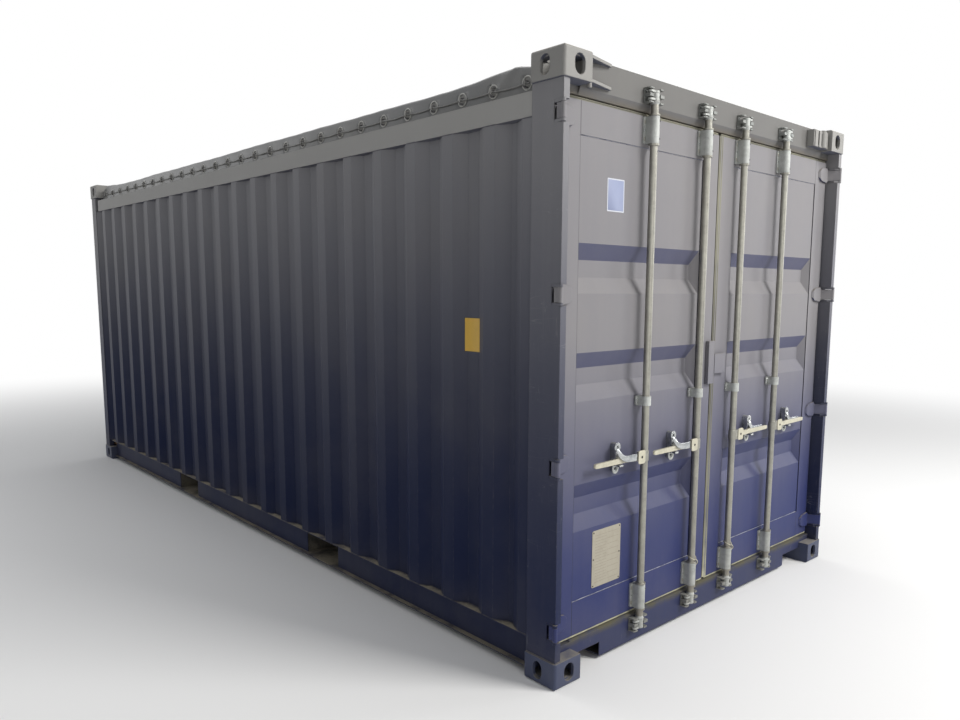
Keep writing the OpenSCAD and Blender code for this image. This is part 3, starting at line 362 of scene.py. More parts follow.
class Graph:
    """Places and joins shader nodes in one tree."""

    def __init__(self, tree: bpy.types.NodeTree) -> None:
        """Works on that tree."""
        self.tree = tree

    def give(self, node: bpy.types.Node, feeds: dict[str | int, Feed]) -> None:
        """Joins a value to each named input, or sets the input; a colour gets its fourth number here."""
        for key, value in feeds.items():
            socket = node.inputs[key]
            if isinstance(value, Value):
                self.tree.links.new(value.socket, socket)
            else:
                socket.default_value = (*value, 1.0) if socket.type == "RGBA" else value

    def node(self, kind: str, feeds: dict[str | int, Feed] | None = None, **settings: object) -> bpy.types.Node:
        """Places a node.

        Args:
            kind: The node's type, without ShaderNode in front.
            feeds: For each input, a value to join or to set.
            settings: Settings of the node itself.

        Returns:
            The node.
        """
        made = self.tree.nodes.new("ShaderNode" + kind)
        for key, value in settings.items():
            setattr(made, key, value)
        self.give(made, feeds or {})
        return made

    def add(self, kind: str, feeds: dict[str | int, Feed] | None = None, output: str | int = 0,
            **settings: object) -> Value:
        """Places a node, as node does, and gives one of its outputs."""
        return Value(self, self.node(kind, feeds, **settings).outputs[output])

    def outputs(self, node: bpy.types.Node) -> dict[str, Value]:
        """Every named output of a node."""
        return {socket.name: Value(self, socket) for socket in node.outputs if socket.name}

    def effect(self, kind: "Effect", **feeds: Feed) -> dict[str, Value]:
        """Places a shared effect with its own inputs, and gives its outputs."""
        made = self.tree.nodes.new("ShaderNodeGroup")
        made.node_tree = effect_tree(kind)
        self.give(made, feeds)
        return self.outputs(made)

    def math(self, operation: str, a: Feed, b: Feed) -> Value:
        """One operation on two values."""
        return self.add("Math", {0: a, 1: b}, operation=operation)

    def mix(self, share: Feed, low: Feed, high: Feed) -> Value:
        """Colour between low and high, by share."""
        return self.add("Mix", {0: share, 6: low, 7: high}, 2, data_type="RGBA")

    def place(self, stretch: Sequence[float] = (1, 1, 1), turn: Sequence[float] = (0, 0, 0)) -> Value:
        """Object coordinates, stretched and turned."""
        own = self.add("TexCoord", output="Object")
        return self.add("Mapping", {"Vector": own, "Scale": stretch, "Rotation": turn})

    def axis(self, k: int) -> Value:
        """One object coordinate: 0 for x, 1 for y, 2 for z."""
        return self.add("SeparateXYZ", {0: self.add("TexCoord", output="Object")}, k)

    def upward(self) -> Value:
        """How far the surface looks up, from -1 to 1."""
        return self.add("SeparateXYZ", {0: self.add("NewGeometry", output="Normal")}, 2)

    def noise(self, where: Value, scale: Feed, detail: float = 3.0, rough: float = 0.55, bend: float = 0.0) -> Value:
        """Soft noise from 0 to 1."""
        return self.add("TexNoise", {"Vector": where, "Scale": scale, "Detail": detail, "Roughness": rough,
                                     "Distortion": bend})

    def bump(self, strength: float, distance: float, height: Value, normal: Value | None = None) -> Value:
        """Normal raised by a height, over another normal or the surface's own."""
        feeds = {"Strength": strength, "Distance": distance, "Height": height}
        return self.add("Bump", feeds if normal is None else feeds | {"Normal": normal})


class Effect(Enum):
    """Shared effects, each a node group."""

    EDGES = "edge_wear"
    PATINA = "paint_patina"
    DUST = "settled_dust"
    SCRATCHES = "fine_scratches"
    RUST = "rust_spots"
    ZINC = "zinc_flowers"
    CLOTH = "coated_cloth"
    SEAMS = "joint_lines"


Inputs = dict[str, Value]
Wiring = Callable[[Graph, Inputs], dict[str, Value]]
BLACK = (0.0, 0.0, 0.0, 1.0)
SOCKETS = {"Colour": "NodeSocketColor", "Normal": "NodeSocketVector"}
EFFECTS: dict[Effect, tuple[Wiring, dict[str, float | tuple[float, ...]]]] = {}


def wired(kind: Effect, **inputs: float | tuple[float, ...]) -> Callable[[Wiring], Wiring]:
    """Files a function as the wiring of an effect, with the effect's inputs; four numbers make a colour."""
    def file(wiring: Wiring) -> Wiring:
        EFFECTS[kind] = wiring, inputs
        return wiring
    return file


def effect_tree(kind: Effect) -> bpy.types.NodeTree:
    """The node group of an effect, built with its named inputs and outputs when it is first asked for."""
    tree = bpy.data.node_groups.get(kind.value)
    if tree is None:
        wiring, inputs = EFFECTS[kind]
        tree = bpy.data.node_groups.new(kind.value, "ShaderNodeTree")
        for name, value in inputs.items():
            socket = "NodeSocketColor" if isinstance(value, tuple) else "NodeSocketFloat"
            tree.interface.new_socket(name=name, in_out="INPUT", socket_type=socket).default_value = value
        g = Graph(tree)
        made = wiring(g, g.outputs(tree.nodes.new("NodeGroupInput")))
        for name in made:
            tree.interface.new_socket(name=name, in_out="OUTPUT", socket_type=SOCKETS.get(name, "NodeSocketFloat"))
        g.give(tree.nodes.new("NodeGroupOutput"), made)
    return tree


@wired(Effect.EDGES, Radius=0.003, Amount=0.5, Grain=40.0, Least=0.03, Full=0.25)
def edges(g: Graph, i: Inputs) -> dict[str, Value]:
    """Mask where the surface turns sharply, broken up by noise, and a normal with softened edges."""
    soft = g.add("Bevel", {"Radius": i["Radius"]}, samples=3)
    true = g.add("NewGeometry", output="Normal")
    turn = g.add("VectorMath", {0: soft, 1: true}, "Value", operation="DOT_PRODUCT")
    speck = g.noise(g.place(), i["Grain"], 5.0, 0.7).span(0.75 - i["Amount"] * 0.5, 0.8)
    return {"Mask": (1.0 - turn).span(i["Least"], i["Full"]) * speck, "Normal": soft}


@wired(Effect.PATINA, Paint=BLACK, Faded=BLACK, Fading=0.5, Rise=0.8, Top=2.7, Curve=1.0, Shelter=0.75)
def patina_and_painted_light(g: Graph, i: Inputs) -> dict[str, Value]:
    """Paint with blotches, rain streaks and orange peel, and painted light that makes it paler towards the top, while
    faces that look down are spared it and keep painted shade.
    """
    here = g.place()
    share = g.noise(here, 1.3, 5.0, 0.6, 0.4).span(0.35, 0.7) * 0.5
    share += g.noise(g.place((14, 14, 0.8)), 1.0, 4.0, 0.6).span(0.4, 0.75) * 0.35
    share += g.noise(here, 45.0, 4.0, 0.65).span(0.4, 0.75) * 0.15
    painted_light_by_facing = 1.0 - g.upward().span(0.0, -0.6) * i["Shelter"]
    climb = g.math("POWER", g.axis(2).span(0.1, i["Top"]), i["Curve"])
    share = share * i["Fading"] + climb * i["Rise"] * painted_light_by_facing
    peel = g.noise(here, 220.0, 2.0) * 0.35 + g.noise(here, 9.0, 2.0) * 0.65
    return {"Colour": g.mix(share, i["Paint"], i["Faded"]), "Dullness": share, "Height": peel}


@wired(Effect.DUST, Upward=0.7, Ground=0.5, Reach=0.35, Film=0.1, Band=0.0, Level=0.135, Half=0.03)
def dust(g: Graph, i: Inputs) -> dict[str, Value]:
    """Dust mask: on faces that look up, from the ground to a height, and along one level band, broken up by noise."""
    here = g.place()
    z = g.axis(2)
    on_top = g.upward().span(0.35, 0.9) * i["Upward"]
    low = z.span(i["Reach"], 0.0) * i["Ground"]
    band = abs(z - i["Level"]).span(i["Half"], 0.0) * i["Band"]
    film = g.noise(here, 2.2, 5.0).span(0.4, 0.75) * i["Film"]
    broken = on_top.most(low).most(band) * g.noise(here, 6.0, 6.0, 0.65).span(0.25, 0.6)
    return {"Mask": (broken + film).least(1.0)}


@wired(Effect.SCRATCHES, Amount=0.5, Scale=1.0)
def scratches(g: Graph, i: Inputs) -> dict[str, Value]:
    """Mask of thin straight lines in two slants, kept to a few patches."""
    flat, steep = (abs(g.noise(g.place(stretch, turn), i["Scale"], 1.0, 0.4) - 0.5).span(0.0045, 0.0)
                   for stretch, turn in (((2.2, 2.2, 30.0), (0.5, 0.3, 0.2)), ((26.0, 26.0, 2.0), (0.25, -0.2, 0.4))))
    return {"Mask": flat.most(steep) * g.noise(g.place(), 5.5, 3.0, 0.6).span(0.78 - i["Amount"] * 0.3, 0.82)}


@wired(Effect.RUST, Amount=0.4, Scale=9.0)
def rust(g: Graph, i: Inputs) -> dict[str, Value]:
    """Small rust specks and their colour, from dark brown to orange."""
    here = g.place()
    return {"Mask": g.noise(here, i["Scale"], 8.0, 0.75).span(0.8 - i["Amount"] * 0.2, 0.82),
            "Colour": g.mix(g.noise(here, 60.0, 4.0), (0.055, 0.02, 0.009), (0.30, 0.11, 0.03))}


@wired(Effect.ZINC, Light=BLACK, Dark=BLACK, Cells=70.0)
def zinc(g: Graph, i: Inputs) -> dict[str, Value]:
    """Galvanised coat: cells of slightly different grey, a mottled film over them, and a height for its drips."""
    here = g.place()
    cell = g.add("TexVoronoi", {"Vector": here, "Scale": i["Cells"]}, "Color", feature="F1")
    film = g.noise(here, 16.0, 6.0, 0.65)
    share = g.add("SeparateColor", {0: cell}) * 0.3 + film.span(0.3, 0.7) * 0.45
    share += g.noise(g.place((30, 30, 3)), 1.0, 3.0).span(0.35, 0.7) * 0.25
    return {"Colour": g.mix(share, i["Dark"], i["Light"]), "Dullness": share,
            "Height": g.noise(here, 120.0, 3.0) + film * 0.8}


@wired(Effect.CLOTH, Cloth=BLACK, Scuffed=BLACK, Threads=420.0)
def cloth(g: Graph, i: Inputs) -> dict[str, Value]:
    """Coated cloth: a fine square weave read from the piece's own map, scuffs, and soft creases as height."""
    flat = g.add("UVMap", uv_map="flat")
    across, along = (g.math("SINE", g.add("SeparateXYZ", {0: flat}, k) * i["Threads"], 0.0) for k in (0, 1))
    return {"Colour": g.mix(g.noise(flat, 3.0, 7.0, 0.65).span(0.4, 0.75), i["Cloth"], i["Scuffed"]),
            "Height": across * along * 0.125 + g.noise(flat, 7.0, 5.0, 0.6, 1.2)}


@wired(Effect.SEAMS, Outer=1.034, Inner=0.143, Width=0.0030)
def seams(g: Graph, i: Inputs) -> dict[str, Value]:
    """Thin upright lines at two distances from the middle plane: painted shade for the step along the inner edges of a
    door's stiles.
    """
    away = abs(g.axis(0))
    return {"Mask": abs(away - i["Outer"]).least(abs(away - i["Inner"])).span(i["Width"], 0.0)}


# ---- Finishes -----------------------------------------------------------------------------------------------


@dataclass(frozen=True)
class Finish:
    """What every finish has: a name, and one material that is made once."""

    name: str

    def material(self) -> bpy.types.Material:
        """The finish as a material, made when it is first asked for."""
        made = bpy.data.materials.get(self.name)
        if made is None:
            made = bpy.data.materials.new(self.name)
            g = open_tree(made)
            surface = g.node("BsdfPrincipled")
            g.node("OutputMaterial", {"Surface": Value(g, surface.outputs[0])})
            g.give(surface, self.wire(g))
        return made

    def wire(self, g: Graph) -> dict[str, Feed]:
        """What each input of the surface is given."""
        raise NotImplementedError


def open_tree(owner: bpy.types.Material | bpy.types.World) -> Graph:
    """The empty shader tree of a material or world."""
    owner.use_nodes = True
    owner.node_tree.nodes.clear()
    return Graph(owner.node_tree)


@dataclass(frozen=True)
class Paint(Finish):
    """Paint on steel: blotches, dust, fine scratches, worn edges and a few rust specks, with painted light that pales
    it towards the top, painted shade on faces that look down, and on some paints painted highlight lines along bends.
    """

    colour: Colour = (0.017, 0.023, 0.070)
    # Colour that blotches fade to, and that the paint also climbs to with height as painted light.
    faded: Colour = (0.150, 0.156, 0.192)
    # Bare and worn paint; on paints with low least and full it also paints highlight lines along bends.
    worn: Colour = (0.30, 0.30, 0.31)
    dust: Colour = (0.30, 0.27, 0.21)
    # Near-black of the seam lines: painted shade.
    joint: Colour = (0.008, 0.009, 0.014)
    fading: float = 0.08
    rise: float = 0.9
    top: float = 2.6
    curve: float = 1.0
    # How much faces that look down are spared the painted light, which leaves painted shade on them.
    shelter: float = 0.75
    roughness: float = 0.42
    specular: float = 0.22
    edge: float = 0.004
    wear: float = 0.8
    least: float = 0.03
    full: float = 0.25
    grain: float = 34.0
    seams: float = 0.0
    band: float = 0.0
    level: float = 0.135
    half: float = 0.03
    upward: float = 0.6
    ground: float = 0.12
    reach: float = 0.35
    film: float = 0.05
    scratches: float = 0.5
    rust: float = 0.4
    relief: float = 0.0006

    def wire(self, g: Graph) -> dict[str, Feed]:
        """Colour and roughness are mixed layer by layer, from the paint up to the dust."""
        edge = g.effect(Effect.EDGES, Radius=self.edge, Amount=self.wear, Grain=self.grain, Least=self.least,
                        Full=self.full)
        # The coat pales towards the top as painted light and haze; faces that look down keep painted shade.
        coat = g.effect(Effect.PATINA, Paint=self.colour, Faded=self.faded, Fading=self.fading, Rise=self.rise,
                        Top=self.top, Curve=self.curve, Shelter=self.shelter)
        dusty = g.effect(Effect.DUST, Upward=self.upward, Ground=self.ground, Reach=self.reach, Film=self.film,
                         Band=self.band, Level=self.level, Half=self.half)["Mask"]
        bare = edge["Mask"].most(g.effect(Effect.SCRATCHES, Amount=self.scratches)["Mask"])
        spots = g.effect(Effect.RUST, Amount=self.rust)
        rusty = spots["Mask"].most(edge["Mask"] * (self.rust * 0.5))
        # Edge mask and scratches take the worn colour: real wear, and on paints with a low least also painted highlight
        # lines along the bends.
        colour = g.mix(bare * 0.75, coat["Colour"], self.worn)
        colour = g.mix(dusty, g.mix(rusty, colour, spots["Colour"]), self.dust)
        # Seam lines in the near-black joint colour: painted shade for the step along each stile's inner edge.
        if self.seams:
            colour = g.mix(g.effect(Effect.SEAMS)["Mask"] * self.seams, colour, self.joint)
        return {"Base Color": colour, "Specular IOR Level": self.specular,
                "Roughness": coat["Dullness"] * 0.16 + self.roughness + dusty.most(rusty) * 0.45,
                "Normal": g.bump(0.45, self.relief, coat["Height"], edge["Normal"])}


@dataclass(frozen=True)
class Zinc(Finish):
    """Galvanised steel: a dull mottled coat with drips, grime low down and on faces that look up, and lighter edges."""

    light: Colour = (0.60, 0.59, 0.53)
    dark: Colour = (0.33, 0.33, 0.31)
    grime: Colour = (0.20, 0.17, 0.13)
    cells: float = 75.0
    metallic: float = 0.55
    roughness: float = 0.42
    dirt: float = 0.35
    edge: float = 0.0025
    relief: float = 0.0005

    def wire(self, g: Graph) -> dict[str, Feed]:
        """The coat's colour is darkened by grime near the ground and lightened along its edges."""
        edge = g.effect(Effect.EDGES, Radius=self.edge, Amount=0.9, Grain=60.0)
        coat = g.effect(Effect.ZINC, Light=self.light, Dark=self.dark, Cells=self.cells)
        dusty = g.effect(Effect.DUST, Upward=0.3, Ground=self.dirt, Reach=0.5, Film=0.12)["Mask"]
        bright = tuple(min(1.0, c * 1.35) for c in self.light)
        return {"Base Color": g.mix(dusty, g.mix(edge["Mask"] * 0.6, coat["Colour"], bright), self.grime),
                "Roughness": coat["Dullness"] * 0.15 + self.roughness + dusty * 0.3,
                "Metallic": (1.0 - dusty) * self.metallic,
                "Normal": g.bump(0.4, self.relief, coat["Height"], edge["Normal"])}


@dataclass(frozen=True)
class Rubber(Finish):
    """Rubber under a coat of khaki dust."""

    colour: Colour = (0.075, 0.072, 0.060)
    light: Colour = (0.11, 0.105, 0.085)
    dusty: Colour = (0.16, 0.15, 0.115)
    ground: float = 0.7

    def wire(self, g: Graph) -> dict[str, Feed]:
        """Dust lies in patches, most of it low down."""
        share = g.effect(Effect.DUST, Upward=0.9, Ground=self.ground, Reach=0.5, Film=0.35)["Mask"]
        grain = g.noise(g.place(), 90.0, 4.0)
        return {"Base Color": g.mix(share, g.mix(grain.span(0.4, 0.7), self.colour, self.light), self.dusty),
                "Roughness": share * 0.3 + 0.62, "Normal": g.bump(0.5, 0.0004, grain)}


@dataclass(frozen=True)
class Plywood(Finish):
    """Sealed plywood floor: long grain, tyre marks and scuffs."""

    light: Colour = (0.30, 0.165, 0.075)
    dark: Colour = (0.13, 0.066, 0.030)
    pore: Colour = (0.05, 0.028, 0.015)
    tyre: Colour = (0.045, 0.035, 0.028)
    dusty: Colour = (0.30, 0.27, 0.22)

    def wire(self, g: Graph) -> dict[str, Feed]:
        """Grain runs along the container, with darker wheel tracks over it."""
        grain = g.noise(g.place((22, 1.1, 22)), 1.0, 7.0, 0.6, 0.5)
        pores = g.noise(g.place((180, 7, 180)), 1.0, 4.0, 0.6)
        tracks = g.noise(g.place((3.0, 0.35, 1.0)), 1.0, 5.0, 0.65).span(0.42, 0.72)
        colour = g.mix(grain.span(0.3, 0.7), self.dark, self.light)
        colour = g.mix(tracks * 0.6, g.mix(pores.span(0.5, 0.8) * 0.5, colour, self.pore), self.tyre)
        share = g.effect(Effect.DUST, Upward=0.35, Ground=0.0, Reach=0.1, Film=0.1)["Mask"]
        return {"Base Color": g.mix(share, colour, self.dusty), "Roughness": share * 0.3 + 0.48,
                "Normal": g.bump(0.4, 0.0008, grain + pores)}


@dataclass(frozen=True)
class Cloth(Finish):
    """Coated tarpaulin cloth, satin, with scuffs and dust."""

    colour: Colour = (0.118, 0.121, 0.124)
    scuffed: Colour = (0.190, 0.190, 0.188)
    dusty: Colour = (0.26, 0.25, 0.22)

    def wire(self, g: Graph) -> dict[str, Feed]:
        """Weave and creases come from the sheet's own map, dust from where it looks up."""
        skin = g.effect(Effect.CLOTH, Cloth=self.colour, Scuffed=self.scuffed)
        share = g.effect(Effect.DUST, Upward=0.22, Ground=0.0, Reach=0.1, Film=0.16)["Mask"]
        return {"Base Color": g.mix(share, skin["Colour"], self.dusty), "Roughness": share * 0.4 + 0.40,
                "Normal": g.bump(0.6, 0.0016, skin["Height"]), "Sheen Weight": 0.08}


@dataclass(frozen=True)
class Rope(Finish):
    """Laid rope, pale and a little dirty."""

    colour: Colour = (0.50, 0.48, 0.42)
    dirty: Colour = (0.22, 0.20, 0.17)

    def wire(self, g: Graph) -> dict[str, Feed]:
        """Fibres run with the lay of the rope."""
        fibre = g.noise(g.place((900, 120, 900)), 1.0, 3.0)
        worn = g.mix(g.noise(g.place(), 14.0, 4.0).span(0.4, 0.7) * 0.6, self.colour, self.dirty)
        return {"Base Color": g.mix(fibre * 0.35, worn, self.dirty), "Roughness": 0.72,
                "Normal": g.bump(0.5, 0.0004, fibre)}


@dataclass(frozen=True)
class Sheet(Finish):
    """Thin plate or vinyl label: an even colour, slightly weathered."""

    colour: Colour = (0.60, 0.56, 0.45)
    stain: Colour = (0.36, 0.32, 0.24)
    staining: float = 0.5
    metallic: float = 0.0
    roughness: float = 0.45

    def wire(self, g: Graph) -> dict[str, Feed]:
        """Stains run down the sheet."""
        run = g.noise(g.place((30, 30, 6)), 1.0, 5.0, 0.65)
        patch = g.noise(g.place(), 26.0, 5.0, 0.6)
        share = (run.span(0.4, 0.75) + patch.span(0.45, 0.8)) * (0.5 * self.staining)
        return {"Base Color": g.mix(share, self.colour, self.stain), "Roughness": share * 0.3 + self.roughness,
                "Normal": g.bump(0.3, 0.0003, patch), "Metallic": self.metallic}


# Wall paint: its pale colour climbs steeply with height as painted light and haze, and its low least and full make
# every gentle bend of the corrugation a painted highlight line in the worn colour.
WALL_PAINT = Paint("wall_paint", colour=(0.009, 0.0145, 0.047), faded=(0.285, 0.282, 0.288),
                   worn=(0.12, 0.125, 0.15), fading=0.04, rise=1.0, top=3.1, curve=1.7, specular=0.07, edge=0.006,
                   wear=0.75, least=0.004, full=0.022, scratches=0.35, rust=0.12)
POST_PAINT = Paint("post_paint", colour=(0.012, 0.018, 0.056), faded=(0.29, 0.286, 0.29), top=3.0, curve=1.35,
                   specular=0.10, edge=0.005, wear=0.45, scratches=1.2, rust=0.3)
# Rail paint: pales towards the top as painted light; its dust on faces that look up also paints the light on the flange
# tops, and its worn edges also paint the highlight along the rounded top edge.
RAIL_PAINT = Paint("rail_paint", colour=(0.013, 0.019, 0.056), faded=(0.36, 0.355, 0.345), worn=(0.34, 0.33, 0.31),
                   fading=0.04, rise=1.0, curve=1.4, specular=0.08, upward=1.0, ground=0.05)
HEADER_PAINT = Paint("header_paint", faded=(0.165, 0.161, 0.147), worn=(0.34, 0.33, 0.31), dust=(0.17, 0.15, 0.12),
                     rise=0.8, shelter=0.15, upward=1.0, ground=0.0, band=0.85, level=2.432, half=0.035)
SILL_PAINT = Paint("sill_paint", colour=(0.022, 0.029, 0.085), worn=(0.42, 0.40, 0.36), dust=(0.095, 0.088, 0.06),
                   rise=0.55, top=2.9, wear=0.9, scratches=0.7, upward=1.0, band=0.85, level=0.148, half=0.034)
# Door paint: pales from low on the door to the top as painted sheen and haze, and its low least and full paint
# highlight lines along the recess edges.
DOOR_PAINT = Paint("door_paint", colour=(0.018, 0.027, 0.112), faded=(0.218, 0.211, 0.217), top=1.55, curve=1.7,
                   edge=0.003, wear=0.34, least=0.015, full=0.12, scratches=0.35, rust=0.15)
# Frame paint: its seam lines are painted shade for the step along each stile's inner edge.
FRAME_PAINT = replace(DOOR_PAINT, name="frame_paint", wear=0.3, scratches=0.4, seams=0.85)
HINGE_PAINT = replace(DOOR_PAINT, name="hinge_paint", worn=(0.34, 0.35, 0.38), edge=0.005, wear=0.7, rust=0.05,
                      relief=0.0015)
CAST_PAINT = Paint("cast_paint", colour=(0.040, 0.052, 0.105), faded=(0.27, 0.265, 0.253), worn=(0.40, 0.41, 0.43),
                   rise=0.95, roughness=0.45, edge=0.006, wear=0.75, scratches=0.6, rust=0.45, ground=0.05,
                   relief=0.0022)
UNDER_PAINT = Paint("under_paint", colour=(0.012, 0.013, 0.018), faded=(0.03, 0.03, 0.034), worn=(0.08, 0.07, 0.06),
                    fading=0.6, rise=0.0, top=2.9, roughness=0.6, wear=0.5, scratches=0.4, rust=0.5, upward=0.9,
                    ground=0.6, reach=0.4)
GALVANISED = Zinc("galvanised_steel", light=(0.37, 0.362, 0.317), dark=(0.25, 0.246, 0.22), metallic=0.75,
                  roughness=0.28, dirt=0.6)
PALE_ZINC = Zinc("pale_zinc", light=(0.52, 0.54, 0.52), dark=(0.30, 0.31, 0.30), metallic=0.35, roughness=0.45,
                 dirt=0.2)
RING_ZINC = replace(PALE_ZINC, name="ring_zinc", light=(0.60, 0.60, 0.57), dark=(0.40, 0.40, 0.38), metallic=0.1)
DULL_ZINC = Zinc("dull_zinc", light=(0.30, 0.31, 0.30), dark=(0.15, 0.16, 0.155), metallic=0.4)
BRIGHT_ZINC = Zinc("bright_zinc", light=(0.62, 0.63, 0.62), dark=(0.25, 0.27, 0.29), metallic=0.9, roughness=0.15,
                   dirt=0.15)
CREAM_ZINC = Zinc("cream_zinc", light=(0.60, 0.57, 0.46), dark=(0.42, 0.40, 0.31), metallic=0.3, roughness=0.38,
                  dirt=0.15)
SEAL_RUBBER = Rubber("seal_rubber")
LIP_RUBBER = Rubber("seal_lip", colour=(0.11, 0.106, 0.082), dusty=(0.44, 0.425, 0.31), ground=1.25)
FLOOR_PLY = Plywood("floor_plywood")
TARP_CLOTH = Cloth("tarpaulin_cloth")
# Hem cloth twice as pale as the sheet: painted highlight along the hem.
HEM_HIGHLIGHT_WEBBING = Cloth("hem_webbing", colour=(0.235, 0.235, 0.23), scuffed=(0.31, 0.31, 0.30))
LACING = Rope("lacing_rope", colour=(0.25, 0.25, 0.245), dirty=(0.14, 0.14, 0.135))
PLATE_METAL = Sheet("plate_metal", colour=(0.36, 0.33, 0.265), stain=(0.22, 0.20, 0.15), metallic=0.1)
PLATE_RULES = Sheet("plate_rules", colour=(0.19, 0.175, 0.135), stain=(0.27, 0.245, 0.19), staining=0.8)
LABEL_BLUE = Sheet("label_blue", colour=(0.23, 0.265, 0.40), stain=(0.22, 0.24, 0.36), staining=0.4)
LABEL_WHITE = Sheet("label_white", colour=(0.52, 0.54, 0.60), stain=(0.38, 0.38, 0.40), staining=0.3)
CHIPPED = Sheet("chipped_seam", colour=(0.36, 0.38, 0.44), stain=(0.05, 0.06, 0.12), staining=1.7)
MARK_YELLOW = Sheet("mark_yellow", colour=(0.62, 0.38, 0.05), stain=(0.42, 0.27, 0.07), staining=0.4)
MARK_BLACK = Sheet("mark_black", colour=(0.02, 0.02, 0.02), stain=(0.05, 0.05, 0.05), staining=0.3)


# ---- Sub-assemblies -----------------------------------------------------------------------------------------


@dataclass
class Envelope:
    """Sizes of the whole container that the pieces are set out from, in metres."""

    half_w: float = 1.219
    half_l: float = 3.029
    height: float = 2.591
    door_v: float = 0.076
    panel_v: float = 0.080
    casting: float = 0.118

    @property
    def length(self) -> float:
        """Whole length."""
        return 2 * self.half_l

    def y(self, depth: float) -> float:
        """Place along the container of a depth behind the door end."""
        return depth - self.half_l


BOX = Envelope()
DOORS = {"left_door": -1, "right_door": 1}


@dataclass
class Steelwork:
    """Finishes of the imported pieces."""

    finishes: dict[str, Finish] = field(default_factory=lambda: {
        "castings": CAST_PAINT, "corner_posts": POST_PAINT, "side_walls": WALL_PAINT, "front_wall": WALL_PAINT,
        "top_rails": RAIL_PAINT, "bottom_rails": RAIL_PAINT, "front_header": RAIL_PAINT, "front_sill": RAIL_PAINT,
        "door_sill": SILL_PAINT, "door_header": HEADER_PAINT, "header_hinges": CAST_PAINT, "cam_keepers": DULL_ZINC,
        "cam_guards": DULL_ZINC,
        "floor_boards": FLOOR_PLY, "cross_members": UNDER_PAINT, "fork_pockets": UNDER_PAINT, "roof_bows": GALVANISED,
        "door_frame": FRAME_PAINT, "door_panel": DOOR_PAINT, "door_seal": SEAL_RUBBER, "door_hinges": HINGE_PAINT,
        "rod_brackets": PALE_ZINC, "handle_retainers": BRIGHT_ZINC, "customs_block": DOOR_PAINT,
        "customs_plate": DOOR_PAINT, "_rod": GALVANISED, "_cams": PALE_ZINC, "_handle": CREAM_ZINC,
        "tarpaulin_rope": LACING, "rope_loops": GALVANISED, "tarpaulin": TARP_CLOTH,
        "tarpaulin_flaps": TARP_CLOTH,
    })

    def dress(self) -> None:
        """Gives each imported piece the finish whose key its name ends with."""
        for name, piece in frame["nodes"].items():
            finish = next(f for key, f in self.finishes.items() if name.endswith(key))
            if not piece.material_slots:
                piece.data.materials.append(finish.material())
            for slot in piece.material_slots:
                slot.material = finish.material()
            LOG.info("node %s: %s", name, finish.name)


